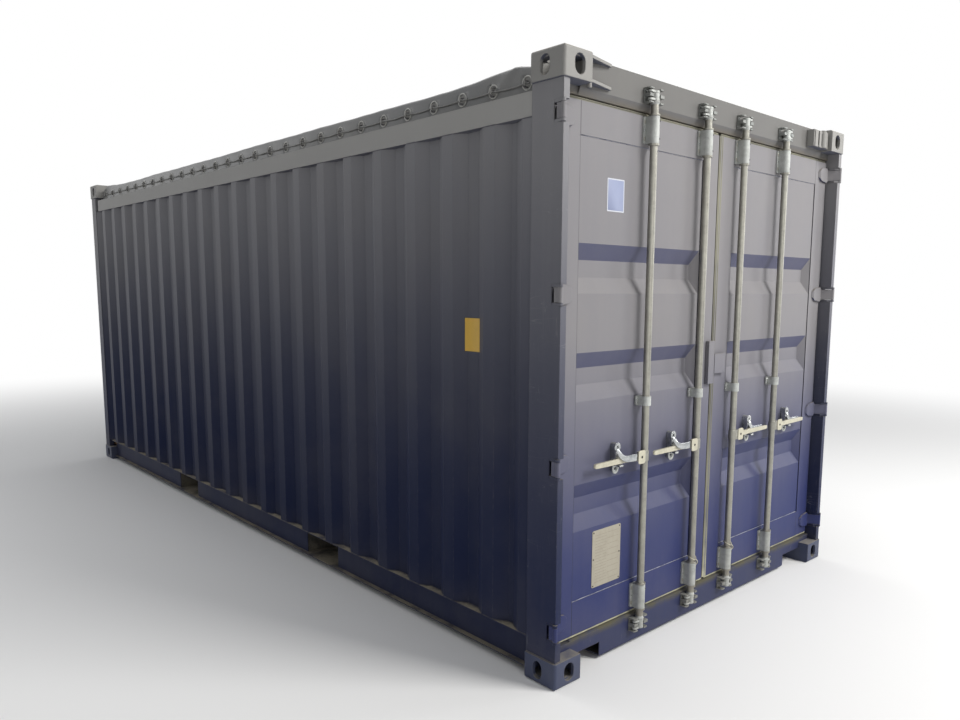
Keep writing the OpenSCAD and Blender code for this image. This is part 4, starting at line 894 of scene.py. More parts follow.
@dataclass
class Tarpaulin:
    """The laced roof sheet: cloth over the bows, skirts beside the rails, eyelets, staples and rope."""

    half: float = 1.1563
    edge_z: float = 2.5573
    crown: float = 0.026
    hem_z: float = 2.451
    shoulder: float = 0.014
    first_v: float = 0.181
    header_v: float = 0.1505
    front_v: float = 0.0725
    apron_half: float = 1.054
    bow_pitch: float = 0.5702
    bow_first: float = 0.178
    sag: float = 0.008
    loop_first: float = 0.261
    loop_pitch: float = 0.205
    loops: int = 28
    loop_z: float = 2.500
    bar_drop: float = 0.004
    ring_r: float = 0.0275
    ring_bar: float = 0.0030
    hole: float = 0.0215
    cloth_t: float = 0.0014
    staple_out: float = 0.016
    rope_r: float = 0.0032
    rope_lay: float = 0.045
    rope_dip: float = 0.004
    wave: float = 0.0005
    bulge: float = 0.0016
    pleat: float = 0.0008
    end_drop: float = 0.020
    end_reach: float = 0.075
    shoulder_reach: float = 0.055
    fold: float = 0.0065
    fold_w: float = 0.014
    fold_v: float = 0.54
    fold_lean: float = 0.22
    hump: float = 0.019
    hump_v: float = 0.33
    hump_near: float = 0.075
    hump_far: float = 0.23
    crease: float = 0.004

    def to_loop(self, depth: np.ndarray) -> np.ndarray:
        """Depths counted in eyelets: a whole number at each."""
        return (depth - self.loop_first) / self.loop_pitch

    def eyelet_places(self, out: float, z: float) -> np.ndarray:
        """Places at every eyelet of both sides, that far from the middle plane, facing outwards."""
        y = self.loop_first + self.loop_pitch * np.arange(self.loops) - BOX.half_l
        return np.concatenate([facing.places(np.stack([np.full(len(y), x), y, np.full(len(y), z)], 1))
                               for facing, x in ((Facing.LEFT_SIDE, -out), (Facing.RIGHT_SIDE, out))])

    def outline(self) -> np.ndarray:
        """Half of the cross-section from the hem up and in: skirt, quarter round shoulder, cambered top.

        Returns:
            Points (x, z) and the outward normal (nx, nz), one row each, from the hem to the middle.
        """
        z = np.array([0, 0.010, 0.0275, 0.042, 0.056, 0.0705, 0.079, 0.086]) + self.hem_z
        skirt = np.stack([np.full(len(z), self.half), z, np.ones(len(z)), np.zeros(len(z))], 1)
        a = np.linspace(0, np.pi / 2, 6)[1:]
        r = self.shoulder
        top = self.edge_z
        bend = np.stack([self.half - r + r * np.cos(a), top - r + r * np.sin(a), np.cos(a), np.sin(a)], 1)
        x = (self.half - r) * (1 - np.linspace(0, 1, 40)[1:] ** 0.85)
        rise = self.crown * (1 - (x / (self.half - r)) ** 2)
        lean = 2 * self.crown * x / (self.half - r) ** 2
        roof = np.stack([x, top + rise, lean, np.ones(len(x))], 1)
        return np.concatenate([skirt, bend, roof])

    def stations(self) -> np.ndarray:
        """Depths of the cross-sections: close together at each eyelet, wider between them."""
        near = np.array([-0.0215, -0.007, 0.007, 0.0215, 0.045, 0.072, 0.1, 0.128, 0.157])
        eyelets = self.loop_first + self.loop_pitch * np.arange(self.loops)
        v = (eyelets[:, None] + near[None]).ravel()
        v = v[(v > self.first_v + 0.004) & (v < BOX.length - self.first_v - 0.004)]
        ends = [self.header_v, 0.160, 0.170, self.first_v, 0.193, 0.207, 0.223]
        far = BOX.length - np.array([self.first_v, 0.165, 0.150, 0.125, 0.100, self.front_v])
        return np.concatenate([ends, v, far])

    def surface(self) -> tuple[np.ndarray, np.ndarray]:
        """The cloth's middle surface as a grid, and its flat map.

        The top sags between the bows by sag times sin squared, with long seeded waves over it. The skirts bulge
        between the eyelets, folds run from the eyelets over the shoulder, and the ends drop beside the castings.

        Returns:
            Points on a grid of stations by outline points, and the flat place of each, in metres.
        """
        half = self.outline()
        section = np.concatenate([half * [-1, 1, -1, 1], half[::-1][1:]])
        v = self.stations()
        x, z, nx, nz = (section[None, :, k] for k in range(4))
        t = v[:, None]
        rng = np.random.default_rng(11)
        inward = 1 - np.abs(x) / self.half
        top = np.clip((z - self.edge_z + self.shoulder) / self.shoulder, 0, 1)
        phase = np.pi * (t - self.bow_first) / self.bow_pitch
        fall = self.sag * np.sin(phase) ** 2 * (1 - np.abs(x / self.half) ** 4) * top
        for _ in range(10):
            ax, at, p = rng.uniform(1, 9), rng.uniform(1.5, 11), rng.uniform(0, 6.3)
            fall = fall + self.wave * np.sin(ax * x + at * t + p) * top
        to_loop = self.to_loop(t)
        lift = self.bulge * np.sin(np.pi * to_loop) ** 2 * (1 - top)
        over = np.exp(-(inward * self.half / self.shoulder_reach) ** 2)
        pleat = self.pleat * np.cos(2 * np.pi * to_loop + 0.7 * np.sin(9 * t)) * over * top
        near = np.minimum(t, BOX.length - t)
        ease = np.clip((near - self.first_v) / self.end_reach, 0, 1)
        drop = self.end_drop * (1 - ease ** 2 * (3 - 2 * ease))
        height = (z - self.hem_z) / (self.edge_z - self.hem_z)
        line = (near - (self.fold_v - self.fold_lean * height)) / self.fold_w
        fold = self.fold * np.exp(-line ** 2) * np.clip(height * 1.6, 0, 1) * (1 - top * 0.6)
        past = near - self.hump_v
        late = np.where(past < 0, -past / self.hump_near, past / self.hump_far)
        upper = np.clip(height * 2 - 0.6, 0, 1)
        hump = self.hump * np.exp(-late ** 2) * np.abs(x / self.half) ** 8 * upper
        pinch = np.exp(-((height - 0.18) / 0.12) ** 2) - np.exp(-((height - 0.42) / 0.10) ** 2)
        crease = self.crease * np.sin(np.pi * np.clip((near - 0.235) / 0.165, 0, 1)) * pinch * (1 - top)
        out = lift + pleat + fold + crease
        points = np.stack([x + nx * out, np.broadcast_to(t - BOX.half_l, (len(v), x.shape[1])),
                           z + nz * out - fall + hump - drop * upper], -1)
        run = np.concatenate([[0], np.cumsum(np.hypot(np.diff(section[:, 0]), np.diff(section[:, 1])))])
        flat = np.stack(np.broadcast_arrays(run[None] - run[-1] / 2, t), -1)
        return points, flat

    def kept(self, points: np.ndarray) -> np.ndarray:
        """Which quads of the grid stay: not those beside the castings, and not those inside an eyelet.

        Args:
            points: The grid of points.

        Returns:
            True for each quad that stays, in the order of grid_faces.
        """
        middle = (points[:-1, :-1] + points[1:, 1:]) / 2
        near = BOX.half_l - np.abs(middle[..., 1])
        rows = self.stations()
        x = np.abs(points[0, :, 0])
        outer = np.maximum(x[:-1], x[1:]) > self.apron_half + 1e-6
        depth = (rows[:-1] + rows[1:]) / 2
        beside = np.minimum(depth, BOX.length - depth) < self.first_v
        to_loop = self.to_loop(middle[..., 1] + BOX.half_l)
        off = np.abs(to_loop - np.round(to_loop)) * self.loop_pitch
        inside = (off < self.hole) & (np.abs(middle[..., 2] - self.loop_z) < self.hole) & (near > self.first_v)
        inside &= np.abs(middle[..., 0]) > self.half - 0.02
        return ~((beside[:, None] & outer[None]) | inside).ravel()

    def cloth(self) -> bpy.types.Object:
        """The sheet itself, with its thickness, shaped to drape over the bows and rails."""
        points, flat = self.surface()
        rows, cols = points.shape[:2]
        faces = grid_faces(rows, cols)[self.kept(points)][:, ::-1]
        used, renumbered = np.unique(faces, return_inverse=True)
        shape = Shape().add(points.reshape(-1, 3)[used], renumbered.reshape(-1, 4))
        piece = shape.build("roof_tarpaulin", TARP_CLOTH, "container", "tarpaulin", crease=60)
        layer = piece.data.uv_layers.new(name="flat")
        loops = np.zeros(len(piece.data.loops), np.int32)
        piece.data.loops.foreach_get("vertex_index", loops)
        layer.data.foreach_set("uv", flat.reshape(-1, 2)[used][loops].astype(np.float32).ravel())
        wall = piece.modifiers.new("thickness", "SOLIDIFY")
        wall.thickness, wall.offset = self.cloth_t, 0.0
        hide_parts("tarpaulin", "tarpaulin_flaps")
        return piece

    def hem(self) -> bpy.types.Object:
        """A sewn band along each skirt's lower edge: a flat loop of cloth that laps the edge, paler than the sheet as a
        painted highlight along the hem.
        """
        v = self.stations()
        v = v[(v >= self.first_v) & (v <= BOX.length - self.first_v)]
        out = self.bulge * np.sin(np.pi * self.to_loop(v)) ** 2
        profile = np.array([[-0.0014, 0.0], [0.0014, -0.0002], [0.0017, 0.008], [0.0014, 0.0085], [0.0007, 0.0086],
                            [0.0007, 0.001], [-0.0014, 0.001]])
        made = Shape()
        for side in (-1, 1):
            path = np.stack([side * (self.half + out), v - BOX.half_l, np.full(len(v), self.hem_z - 0.0007)], 1)
            made.join(carried((profile * [side, 1])[::-side], path[::-side], (1, 0, 0)))
        return made.build("tarpaulin_hem", HEM_HIGHLIGHT_WEBBING, "container", "tarpaulin")

    def eyelets(self) -> bpy.types.Object:
        """Pressed rings: a flattened bar carried round a circle."""
        turn = np.arange(28) * 2 * np.pi / 28
        path = np.stack([np.cos(turn), np.sin(turn), np.zeros(28)], 1) * self.ring_r
        bar = round_outline(self.ring_bar, 8) * [0.55, 1.0]
        ring = carried(bar, path, (0, 0, 1), closed_path=True)
        piece = ring.repeat(self.eyelet_places(self.half + 0.0012, self.loop_z))
        piece = piece.build("tarpaulin_eyelets", RING_ZINC, "container", "galvanised")
        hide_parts("rope_loops")
        return piece

    def staples(self) -> bpy.types.Object:
        """Bent bars welded to the upstand: out through each eyelet, up, and back in, with round corners."""
        out, half, r = self.staple_out, 0.0125, 0.006
        a = np.linspace(0, np.pi / 2, 5)
        low = np.stack([out - r + r * np.sin(a), -half + r - r * np.cos(a)], 1)
        flat = np.concatenate([[[-0.0032, -half]], low, (low * [1, -1])[::-1], [[-0.0032, half]]])
        path = np.stack([np.zeros(len(flat)), flat[:, 1], flat[:, 0]], 1)
        bar = carried(round_outline(0.0035, 8), path, (1, 0, 0))
        made = bar.repeat(self.eyelet_places(self.half - 0.0001, self.loop_z - self.bar_drop))
        return made.build("rope_staples", RAIL_PAINT, "container", "galvanised")

    def rope(self) -> bpy.types.Object:
        """Three-strand rope through every staple: a ring of three lobes that turns along the run, sagging between."""
        y = np.linspace(self.loop_first - 0.02, BOX.length - self.loop_first + 0.02, 1100)
        dip = self.rope_dip * np.sin(np.pi * self.to_loop(y)) ** 2
        a = np.arange(9) * 2 * np.pi / 9
        turn = a[None] + y[:, None] * 2 * np.pi / self.rope_lay
        r = self.rope_r * (1 + 0.13 * np.cos(3 * a))[None]
        z = self.loop_z - self.bar_drop - dip[:, None] + r * np.sin(turn)
        made = Shape()
        for side in (-1, 1):
            x = side * (self.half + 0.0075) + r * np.cos(turn)
            ring = np.stack([x, np.broadcast_to((y - BOX.half_l)[:, None], turn.shape), z], -1)
            made.join(lofted(ring, flip=True))
        piece = made.build("lacing_rope", LACING, "container", "rope", crease=80)
        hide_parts("tarpaulin_rope")
        return piece

    def build(self) -> None:
        """Makes the whole roof cover."""
        self.cloth()
        self.hem()
        self.eyelets()
        self.staples()
        self.rope()


@dataclass
class LockGear:
    """Small work on the lock gear: bolts, rivets, sleeve screws, hub plates, handle straps, seal rings and wires."""

    rods: dict[str, float] = field(default_factory=lambda: {
        "left_outer": -0.595, "left_inner": -0.170, "right_inner": 0.170, "right_outer": 0.595})
    rod_v: float = 0.038
    hub_r: float = 0.021
    bracket_r: float = 0.023
    wing_w: float = 0.012
    low_z: float = 0.181
    high_z: float = 2.305
    guide_z: float = 1.147
    bracket_h: float = 0.115
    guide_h: float = 0.043
    bracket_t: float = 0.008
    handle_z: float = 0.915
    retainer_x: float = 0.183
    pad_x: float = 0.047
    pad_w: float = 0.050
    pad_h: float = 0.062
    eye_left: float = 0.1946
    eye_right: float = 0.1720
    eye_v: float = 0.0405
    eye_up: float = 0.063
    eye_r: float = 0.0135
    strap_t: float = 0.0125
    right_v: float = 0.0337
    ring_v: float = 0.0590
    ring_down: float = 0.0375
    ring_radii: tuple[float, float] = (0.0175, 0.0195)
    bolt_in: float = 0.021
    rivet_in: float = 0.012

    def fasteners(self, body: str, names: Sequence[str]) -> None:
        """Two oval bolt heads and one round rivet on each wing of a bracket, and two rivets on each wing of a guide.

        Args:
            body: The door that carries them.
            names: The rods of that door.
        """
        oval = stacked(rounded_outline(0.0086, 0.019, 0.0042, 4),
                       [(0, 0), (0, 0.0018), (0.001, 0.0027), (0.0025, 0.0032)])
        dome = stacked(round_outline(0.0047, 12), [(0, 0), (0.0003, 0.0012), (0.0014, 0.0027), (0.003, 0.0034)])
        wing = self.bracket_r + self.wing_w * 0.52
        front = BOX.y(BOX.door_v - self.bracket_t)
        ovals, domes = [], []
        for x in (self.rods[name] + side * wing for name in names for side in (-1, 1)):
            for z in (self.low_z, self.high_z):
                ovals += [(x, front, z + self.bolt_in), (x, front, z + self.bracket_h - self.bolt_in)]
                domes += [(x, front, z + self.bracket_h / 2)]
            domes += [(x, front, self.guide_z + self.rivet_in),
                      (x, front, self.guide_z + self.guide_h - self.rivet_in)]
        oval.at(Facing.DOOR_END, ovals).build(f"{body}_bracket_bolts", GALVANISED, body, "galvanised")
        dome.at(Facing.DOOR_END, domes).build(f"{body}_bracket_rivets", BRIGHT_ZINC, body, "galvanised")

    def screws(self, body: str, names: Sequence[str]) -> None:
        """Two screws at the front right of each sleeve: a small cup that lies proud of it, near-black as painted shade
        of their recessed holes.
        """
        cup = stacked(round_outline(0.0048, 12), [(0, -0.002), (0, 0.0008), (0.0012, 0.0014), (0.0022, 0.0006)])
        aside, inset = 0.012, 0.020
        y = BOX.y(self.rod_v - math.sqrt(self.bracket_r ** 2 - aside ** 2))
        points = [(self.rods[name] + aside, y, z) for name in names for low in (self.low_z, self.high_z)
                  for z in (low + inset, low + self.bracket_h - inset)]
        cup.at(Facing.DOOR_END, points).build(f"{body}_sleeve_screws", UNDER_PAINT, body, "underseal")

    def hub_pad(self, name: str) -> None:
        """A round-cornered cheek plate on the handle's hub, with a screw in it whose near-black colour is painted shade
        of its hollow.
        """
        side = math.copysign(1, self.rods[name])
        here = Facing.DOOR_END.places((self.rods[name] + side * self.pad_x, BOX.y(self.rod_v - self.hub_r),
                                       self.handle_z + 0.001))
        pad = stacked(rounded_outline(self.pad_w, self.pad_h, 0.011), [(0, -0.0004), (0, 0.0020), (0.0009, 0.0030)])
        pad.repeat(here).build(f"{name}_hub_pad", CREAM_ZINC, f"{name}_lock_rod", "galvanised")
        cup = stacked(round_outline(0.0062, 14), [(0, 0.002), (0, 0.0034), (0.0012, 0.0040), (0.0028, 0.0032)])
        cup.repeat(here).build(f"{name}_hub_screw", UNDER_PAINT, f"{name}_lock_rod", "underseal")

    def strap(self, name: str) -> None:
        """Swan-neck strap on the handle: a flat bar along the arm that sweeps up to a round eye before the retainer.

        Args:
            name: The rod that the handle belongs to.
        """
        right = self.rods[name] > 0
        eye_x = self.rods[name] + (self.eye_right if right else -self.eye_left)
        key = np.array([(0.1286, 0.0215, 0.003), (0.0846, 0.0212, 0.0045), (0.0496, 0.0210, 0.0055),
                        (0.0246, 0.0222, 0.0120), (0.0096, 0.0260, 0.0238), (-0.0014, 0.0325, 0.043),
                        (-0.0004, 0.0390, 0.056)])
        key[:, 1] = np.maximum(key[:, 1], self.right_v if right else 0.0)
        wide = np.array([0.0165, 0.0165, 0.0150, 0.0128, 0.0112, 0.0108, 0.0115])
        t, s = np.linspace(0, 1, len(key)), np.linspace(0, 1, 33)
        line = np.stack([np.interp(s, t, key[:, k]) for k in range(3)], 1)
        for _ in range(3):
            line[1:-1] = (line[:-2] + 2 * line[1:-1] + line[2:]) / 4
        path = np.stack([eye_x + line[:, 0], BOX.y(line[:, 1]), self.handle_z + line[:, 2]], 1)
        along = np.gradient(path[:, [0, 2]], axis=0)
        along /= np.linalg.norm(along, axis=1, keepdims=True)
        over = np.stack([-along[:, 1], 0 * along[:, 0], along[:, 0]], 1)
        bar = rounded_outline(2.0, 0.26, 0.10, 3)
        edge = (path[:, None] + np.interp(s, t, wide)[:, None, None] * bar[None, :, :1] * over[:, None]
                + self.strap_t * bar[None, :, 1:] * np.array([0, -1.0, 0]))
        eye = (eye_x, BOX.y(self.eye_v), self.handle_z + self.eye_up)
        ring = upright_ring(rounded_outline(0.0034, 0.0145, 0.001, 3), eye, (self.eye_r, self.eye_r), 28)
        made = lofted(edge).join(ring)
        made.build(f"{name}_handle_strap", BRIGHT_ZINC, f"{name}_lock_handle", "handle_zinc")

    def lower_ring(self, body: str, names: Sequence[str]) -> None:
        """A pale oval ring on each retainer's lower eye.

        Args:
            body: The door that carries them.
            names: The rods of that door.
        """
        made = Shape()
        for name in names:
            x = self.rods[name] + math.copysign(self.retainer_x, self.rods[name])
            eye = (x, BOX.y(self.ring_v), self.handle_z - self.ring_down)
            made.join(upright_ring(rounded_outline(0.0036, 0.0105, 0.0012, 3), eye, self.ring_radii, 32))
        made.build(f"{body}_seal_rings", PALE_ZINC, body, "galvanised")

    def seal_wire(self, name: str) -> None:
        """A loop of seal wire round the rod, with its twisted tail."""
        x, z = self.rods[name], self.low_z + self.bracket_h + 0.030
        turn = np.linspace(0, 2 * np.pi, 40, endpoint=False)
        path = np.stack([x + 0.021 * np.cos(turn), BOX.y(self.rod_v) + 0.021 * np.sin(turn),
                         z + 0.006 * np.sin(turn) + 0.004 * np.cos(2 * turn)], 1)
        made = carried(round_outline(0.0024, 7), path, (0, 0, 1), closed_path=True)
        s = np.linspace(0, 1, 16)
        tail = np.stack([x + 0.004 + 0.012 * np.sin(3 * s), BOX.y(self.rod_v - 0.0215) - 0.004 * np.sin(4 * s),
                         z - 0.008 - 0.034 * s], 1)
        made.join(carried(round_outline(0.0028, 7), tail, (1, 0, 0)))
        made.build(f"{name}_seal_wire", CREAM_ZINC, f"{name}_lock_rod", "galvanised")

    def build(self) -> None:
        """Makes the small work of both doors."""
        for body in DOORS:
            names = [name for name in self.rods if body.startswith(name.split("_")[0])]
            self.fasteners(body, names)
            self.screws(body, names)
            self.lower_ring(body, names)
        for name in self.rods:
            self.hub_pad(name)
            self.strap(name)
        for name in ("left_inner", "right_inner"):
            self.seal_wire(name)


@dataclass
class SealLips:
    """Dusty rubber lips that close most of the gaps over, under and between the doors."""

    low_z: float = 0.163
    high_z: float = 2.423
    inner_x: float = 0.012
    outer_x: float = 1.160
    front_v: float = 0.0805
    low_v: float = 0.0748
    lap_v: float = 0.0742
    reach: float = 0.0095

    def lip(self, start: tuple[float, float], stop: tuple[float, float], reach: tuple[float, float],
            depth: float) -> Shape:
        """One lip with two ribs along its face.

        Args:
            start: One end on the edge of the leaf, as x and z.
            stop: The other end.
            reach: How far it stands out from that edge, as x and z.
            depth: Depth of its face behind the door end.

        Returns:
            The lip.
        """
        out = np.array([reach[0], 0.0, reach[1]])
        first, last = (np.array([x, BOX.y(depth), z]) for x, z in (start, stop))
        s = np.array([-0.25, 0.05, 0.12, 0.22, 0.42, 0.50, 0.62, 0.82, 0.92, 1.0, 1.0, -0.25])
        d = np.array([0.002, 0.002, 0.0, 0.0, 0.0024, 0.0024, 0.0002, 0.0002, 0.0018, 0.0030, 0.0045, 0.0055])
        row = s[:, None] * out + d[:, None] * np.array([0.0, 1.0, 0.0])
        turned = float(np.dot(np.cross(last - first, out), (0.0, 1.0, 0.0))) > 0
        return lofted(np.stack([first + row, last + row]), flip=turned)

    def build(self) -> None:
        """Lips of both doors."""
        for body, s in DOORS.items():
            inner, outer = s * self.inner_x, s * self.outer_x
            lips = [((inner, self.high_z), (outer, self.high_z), (0.0, 0.0125), self.front_v),
                    ((inner, self.low_z), (outer, self.low_z), (0.0, -0.0075), self.low_v),
                    ((inner, self.low_z), (inner, self.high_z), (-s * self.reach, 0.0), self.front_v)]
            if s > 0:
                edge = self.inner_x - self.reach
                lips.append(((edge, self.low_z), (edge, self.high_z), (0.028, 0.0), self.lap_v))
            made = Shape().join(*(self.lip(*lip) for lip in lips))
            made.build(f"{body}_seal_lips", LIP_RUBBER, body, "rubber_seal", crease=50)


@dataclass
class Plates:
    """The bare data plate and the plain blue label on the left door, and the bare height marks on the side walls."""

    plate_x: float = -0.8025
    plate_z: float = 0.4745
    plate_w: float = 0.199
    plate_h: float = 0.263
    label_x: float = -0.797
    label_z: float = 2.070
    label_w: float = 0.114
    label_h: float = 0.138
    mark_u: float = 0.048
    mark_v: float = 0.5745
    mark_z: float = 1.463
    mark_flat: float = 0.071
    mark_wing: float = 0.018
    mark_rise: float = 0.53
    mark_h: float = 0.156

    def data_plate(self) -> None:
        """A thin plate with the fine blank rules of a form in two columns, held by rivets."""
        front = BOX.y(BOX.panel_v)
        body = stacked(rounded_outline(self.plate_w, self.plate_h, 0.008),
                       [(0, -0.0003), (0, 0.0012), (0.0006, 0.0018)])
        body.at(Facing.DOOR_END, (self.plate_x, front, self.plate_z)).build("data_plate", PLATE_METAL, "left_door")
        spots = np.array([(x, front - 0.0018, z) for x, rows in ((-0.040, 17), (0.044, 9))
                          for z in np.linspace(0.108, -0.108, rows)]) + (self.plate_x, 0.0, self.plate_z)
        rule = stacked(rounded_outline(0.078, 0.0011, 0.0005, 3), [(0, -0.0003), (0, 0.0002), (0.0002, 0.0004)])
        rule.at(Facing.DOOR_END, spots).build("data_plate_fields", PLATE_RULES, "left_door")
        dx, dz = self.plate_w / 2 - 0.009, self.plate_h / 2 - 0.009
        at = [(self.plate_x + x, front - 0.0017, self.plate_z + z)
              for x, z in ((-dx, -dz), (dx, -dz), (-dx, dz), (dx, dz), (-dx, 0), (dx, 0))]
        rivet = stacked(round_outline(0.0038, 12), [(0, -0.0002), (0.0003, 0.0009), (0.0012, 0.0019), (0.0026, 0.0023)])
        rivet.at(Facing.DOOR_END, at).build("data_plate_rivets", UNDER_PAINT, "left_door", "galvanised")

    def label(self) -> None:
        """A plain blue label with a white border."""
        front = BOX.y(BOX.panel_v)
        here = Facing.DOOR_END.places((self.label_x, front, self.label_z))
        border = stacked(rounded_outline(self.label_w, self.label_h, 0.003, 3),
                         [(0, -0.0002), (0, 0.0004), (0.0002, 0.0006)])
        blue = stacked(rounded_outline(self.label_w - 0.010, self.label_h - 0.010, 0.002, 3),
                       [(0, 0.0004), (0, 0.0008), (0.0002, 0.0009)])
        border.repeat(here).build("label_border", LABEL_WHITE, "left_door")
        blue.repeat(here).build("blue_label", LABEL_BLUE, "left_door")

    def wrapped(self, side: int, margin: float, proud: float) -> Shape:
        """A thin mark pressed over an inner flat of the wall and the start of the slopes beside it.

        Args:
            side: -1 for the left wall, 1 for the right one.
            margin: How far its edges lie inside the whole mark's.
            proud: How far it stands off the wall.

        Returns:
            The mark.
        """
        half, wing = self.mark_flat / 2, self.mark_wing - margin
        rise = wing * self.mark_rise
        line = np.array([[-half - wing, rise], [-half, 0.0], [half, 0.0], [half + wing, rise]])
        ring = np.concatenate([line + [0.0, proud], line[::-1] - [0.0, 0.0002]])
        x = side * (BOX.half_w - self.mark_u + ring[:, 1])
        y = BOX.y(self.mark_v) + ring[:, 0]
        reach = self.mark_h / 2 - margin
        points = np.stack([np.stack([x, y, np.full(8, self.mark_z + z)], 1) for z in (-reach, reach)])
        cap = np.array([[0, 1, 6, 7], [1, 2, 5, 6], [2, 3, 4, 5]])
        faces = grid_faces(2, 8, close_cols=True), cap[:, ::-1], cap + 8
        return Shape().add(points, *(f[:, ::-1] if side < 0 else f for f in faces))

    def marks(self) -> None:
        """A plain yellow mark with a black border beside the first column of each side wall."""
        for name, finish, margin, proud in (("height_mark_borders", MARK_BLACK, 0.0, 0.0004),
                                            ("height_marks", MARK_YELLOW, 0.003, 0.0007)):
            Shape().join(*(self.wrapped(side, margin, proud) for side in (-1, 1))).build(name, finish, "container")

    def build(self) -> None:
        """Makes them all."""
        self.data_plate()
        self.label()
        self.marks()


@dataclass
class Welds:
    """Weld beads where posts, castings, walls and rails meet."""

    size: float = 0.003
    wall_size: float = 0.0024
    seam_size: float = 0.0014
    wave_first: float = 0.435
    wave_pitch: float = 0.279
    waves: int = 20
    wall_levels: tuple[float, float] = (0.1865, 2.3495)
    panel_levels: tuple[float, float] = (0.3165, 2.2905)
    panel_ends: tuple[float, float] = (0.146, 1.031)

    def posts(self) -> Shape:
        """Beads round each post's outer faces at both castings."""
        rear = (0.008, 0.176), (0.008, 0.012), (0.012, 0.008), (0.041, 0.008)
        front = (0.008, 0.110), (0.008, 0.012), (0.012, 0.008), (0.130, 0.008)
        made = Shape()
        for end, line in ((-1, rear), (1, front)):
            for z in (BOX.casting, BOX.height - BOX.casting):
                for side in (-1, 1):
                    path = [(side * (BOX.half_w - u), end * (BOX.half_l - v), z) for u, v in line]
                    made.join(weld_bead(path, (0, 0, 1), self.size))
        return made

    def walls(self) -> Shape:
        """Beads along the foot and head of each side wall, following the corrugation."""
        flat, deep = 0.012, 0.048
        inset = [(0.178, flat), (0.235, flat), (0.303, deep)]
        for c in self.wave_first + self.wave_pitch * np.arange(self.waves):
            inset += [(c - 0.104, deep), (c - 0.036, flat), (c + 0.036, flat), (c + 0.104, deep)]
        inset += [(6.058 - 0.112 - 0.068, deep), (6.058 - 0.112, flat)]
        line = np.array(inset)
        made = Shape()
        for z in self.wall_levels:
            for side in (-1, 1):
                path = np.stack([side * (BOX.half_w - line[:, 1]), line[:, 0] - BOX.half_l, np.full(len(line), z)], 1)
                made.join(weld_bead(path, (0, 0, 1), self.wall_size, 0.012))
        return made

    def panels(self, side: int) -> Shape:
        """Thin beads where a door's panel meets its bottom and top rails.

        Args:
            side: Minus one on the left, one on the right.

        Returns:
            The beads.
        """
        made = Shape()
        for z in self.panel_levels:
            ends = [(side * x, BOX.y(BOX.panel_v), z) for x in self.panel_ends]
            made.join(weld_bead(ends, (0, 0, 1), self.seam_size, 0.008))
        return made

    def build(self) -> None:
        """Makes the beads of the frame and of the doors."""
        for body, side in DOORS.items():
            self.panels(side).build(f"{body}_panel_seams", CHIPPED, body, "navy_paint", crease=80)
        self.posts().build("post_welds", POST_PAINT, "container", "navy_paint", crease=80)
        self.walls().build("wall_welds", WALL_PAINT, "container", "navy_paint", crease=80)


@dataclass
class FloorScrews:
    """Countersunk screws that hold the boards to the cross members."""

    rows: int = 18
    across: int = 12
    radius: float = 0.0055
    inset: float = 0.02
    reach: float = 1.05

    def build(self) -> None:
        """A shallow dish at every crossing of a screw row and a cross member."""
        low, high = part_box("cross_members")
        y = np.linspace(low.y + self.inset, high.y - self.inset, self.rows)
        gx, gy = np.meshgrid(np.linspace(-self.reach, self.reach, self.across), y)
        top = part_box("floor_boards")[1].z
        spots = np.stack([gx.ravel(), gy.ravel(), np.full(gx.size, top - 0.0004)], 1)
        dish = stacked(round_outline(self.radius, 10), [(0, 0), (0, 0.0008), (0.001, 0.0011), (0.0028, 0.0006)])
        dish.at(Facing.UP, spots).build("floor_screws", GALVANISED, "container", "galvanised")


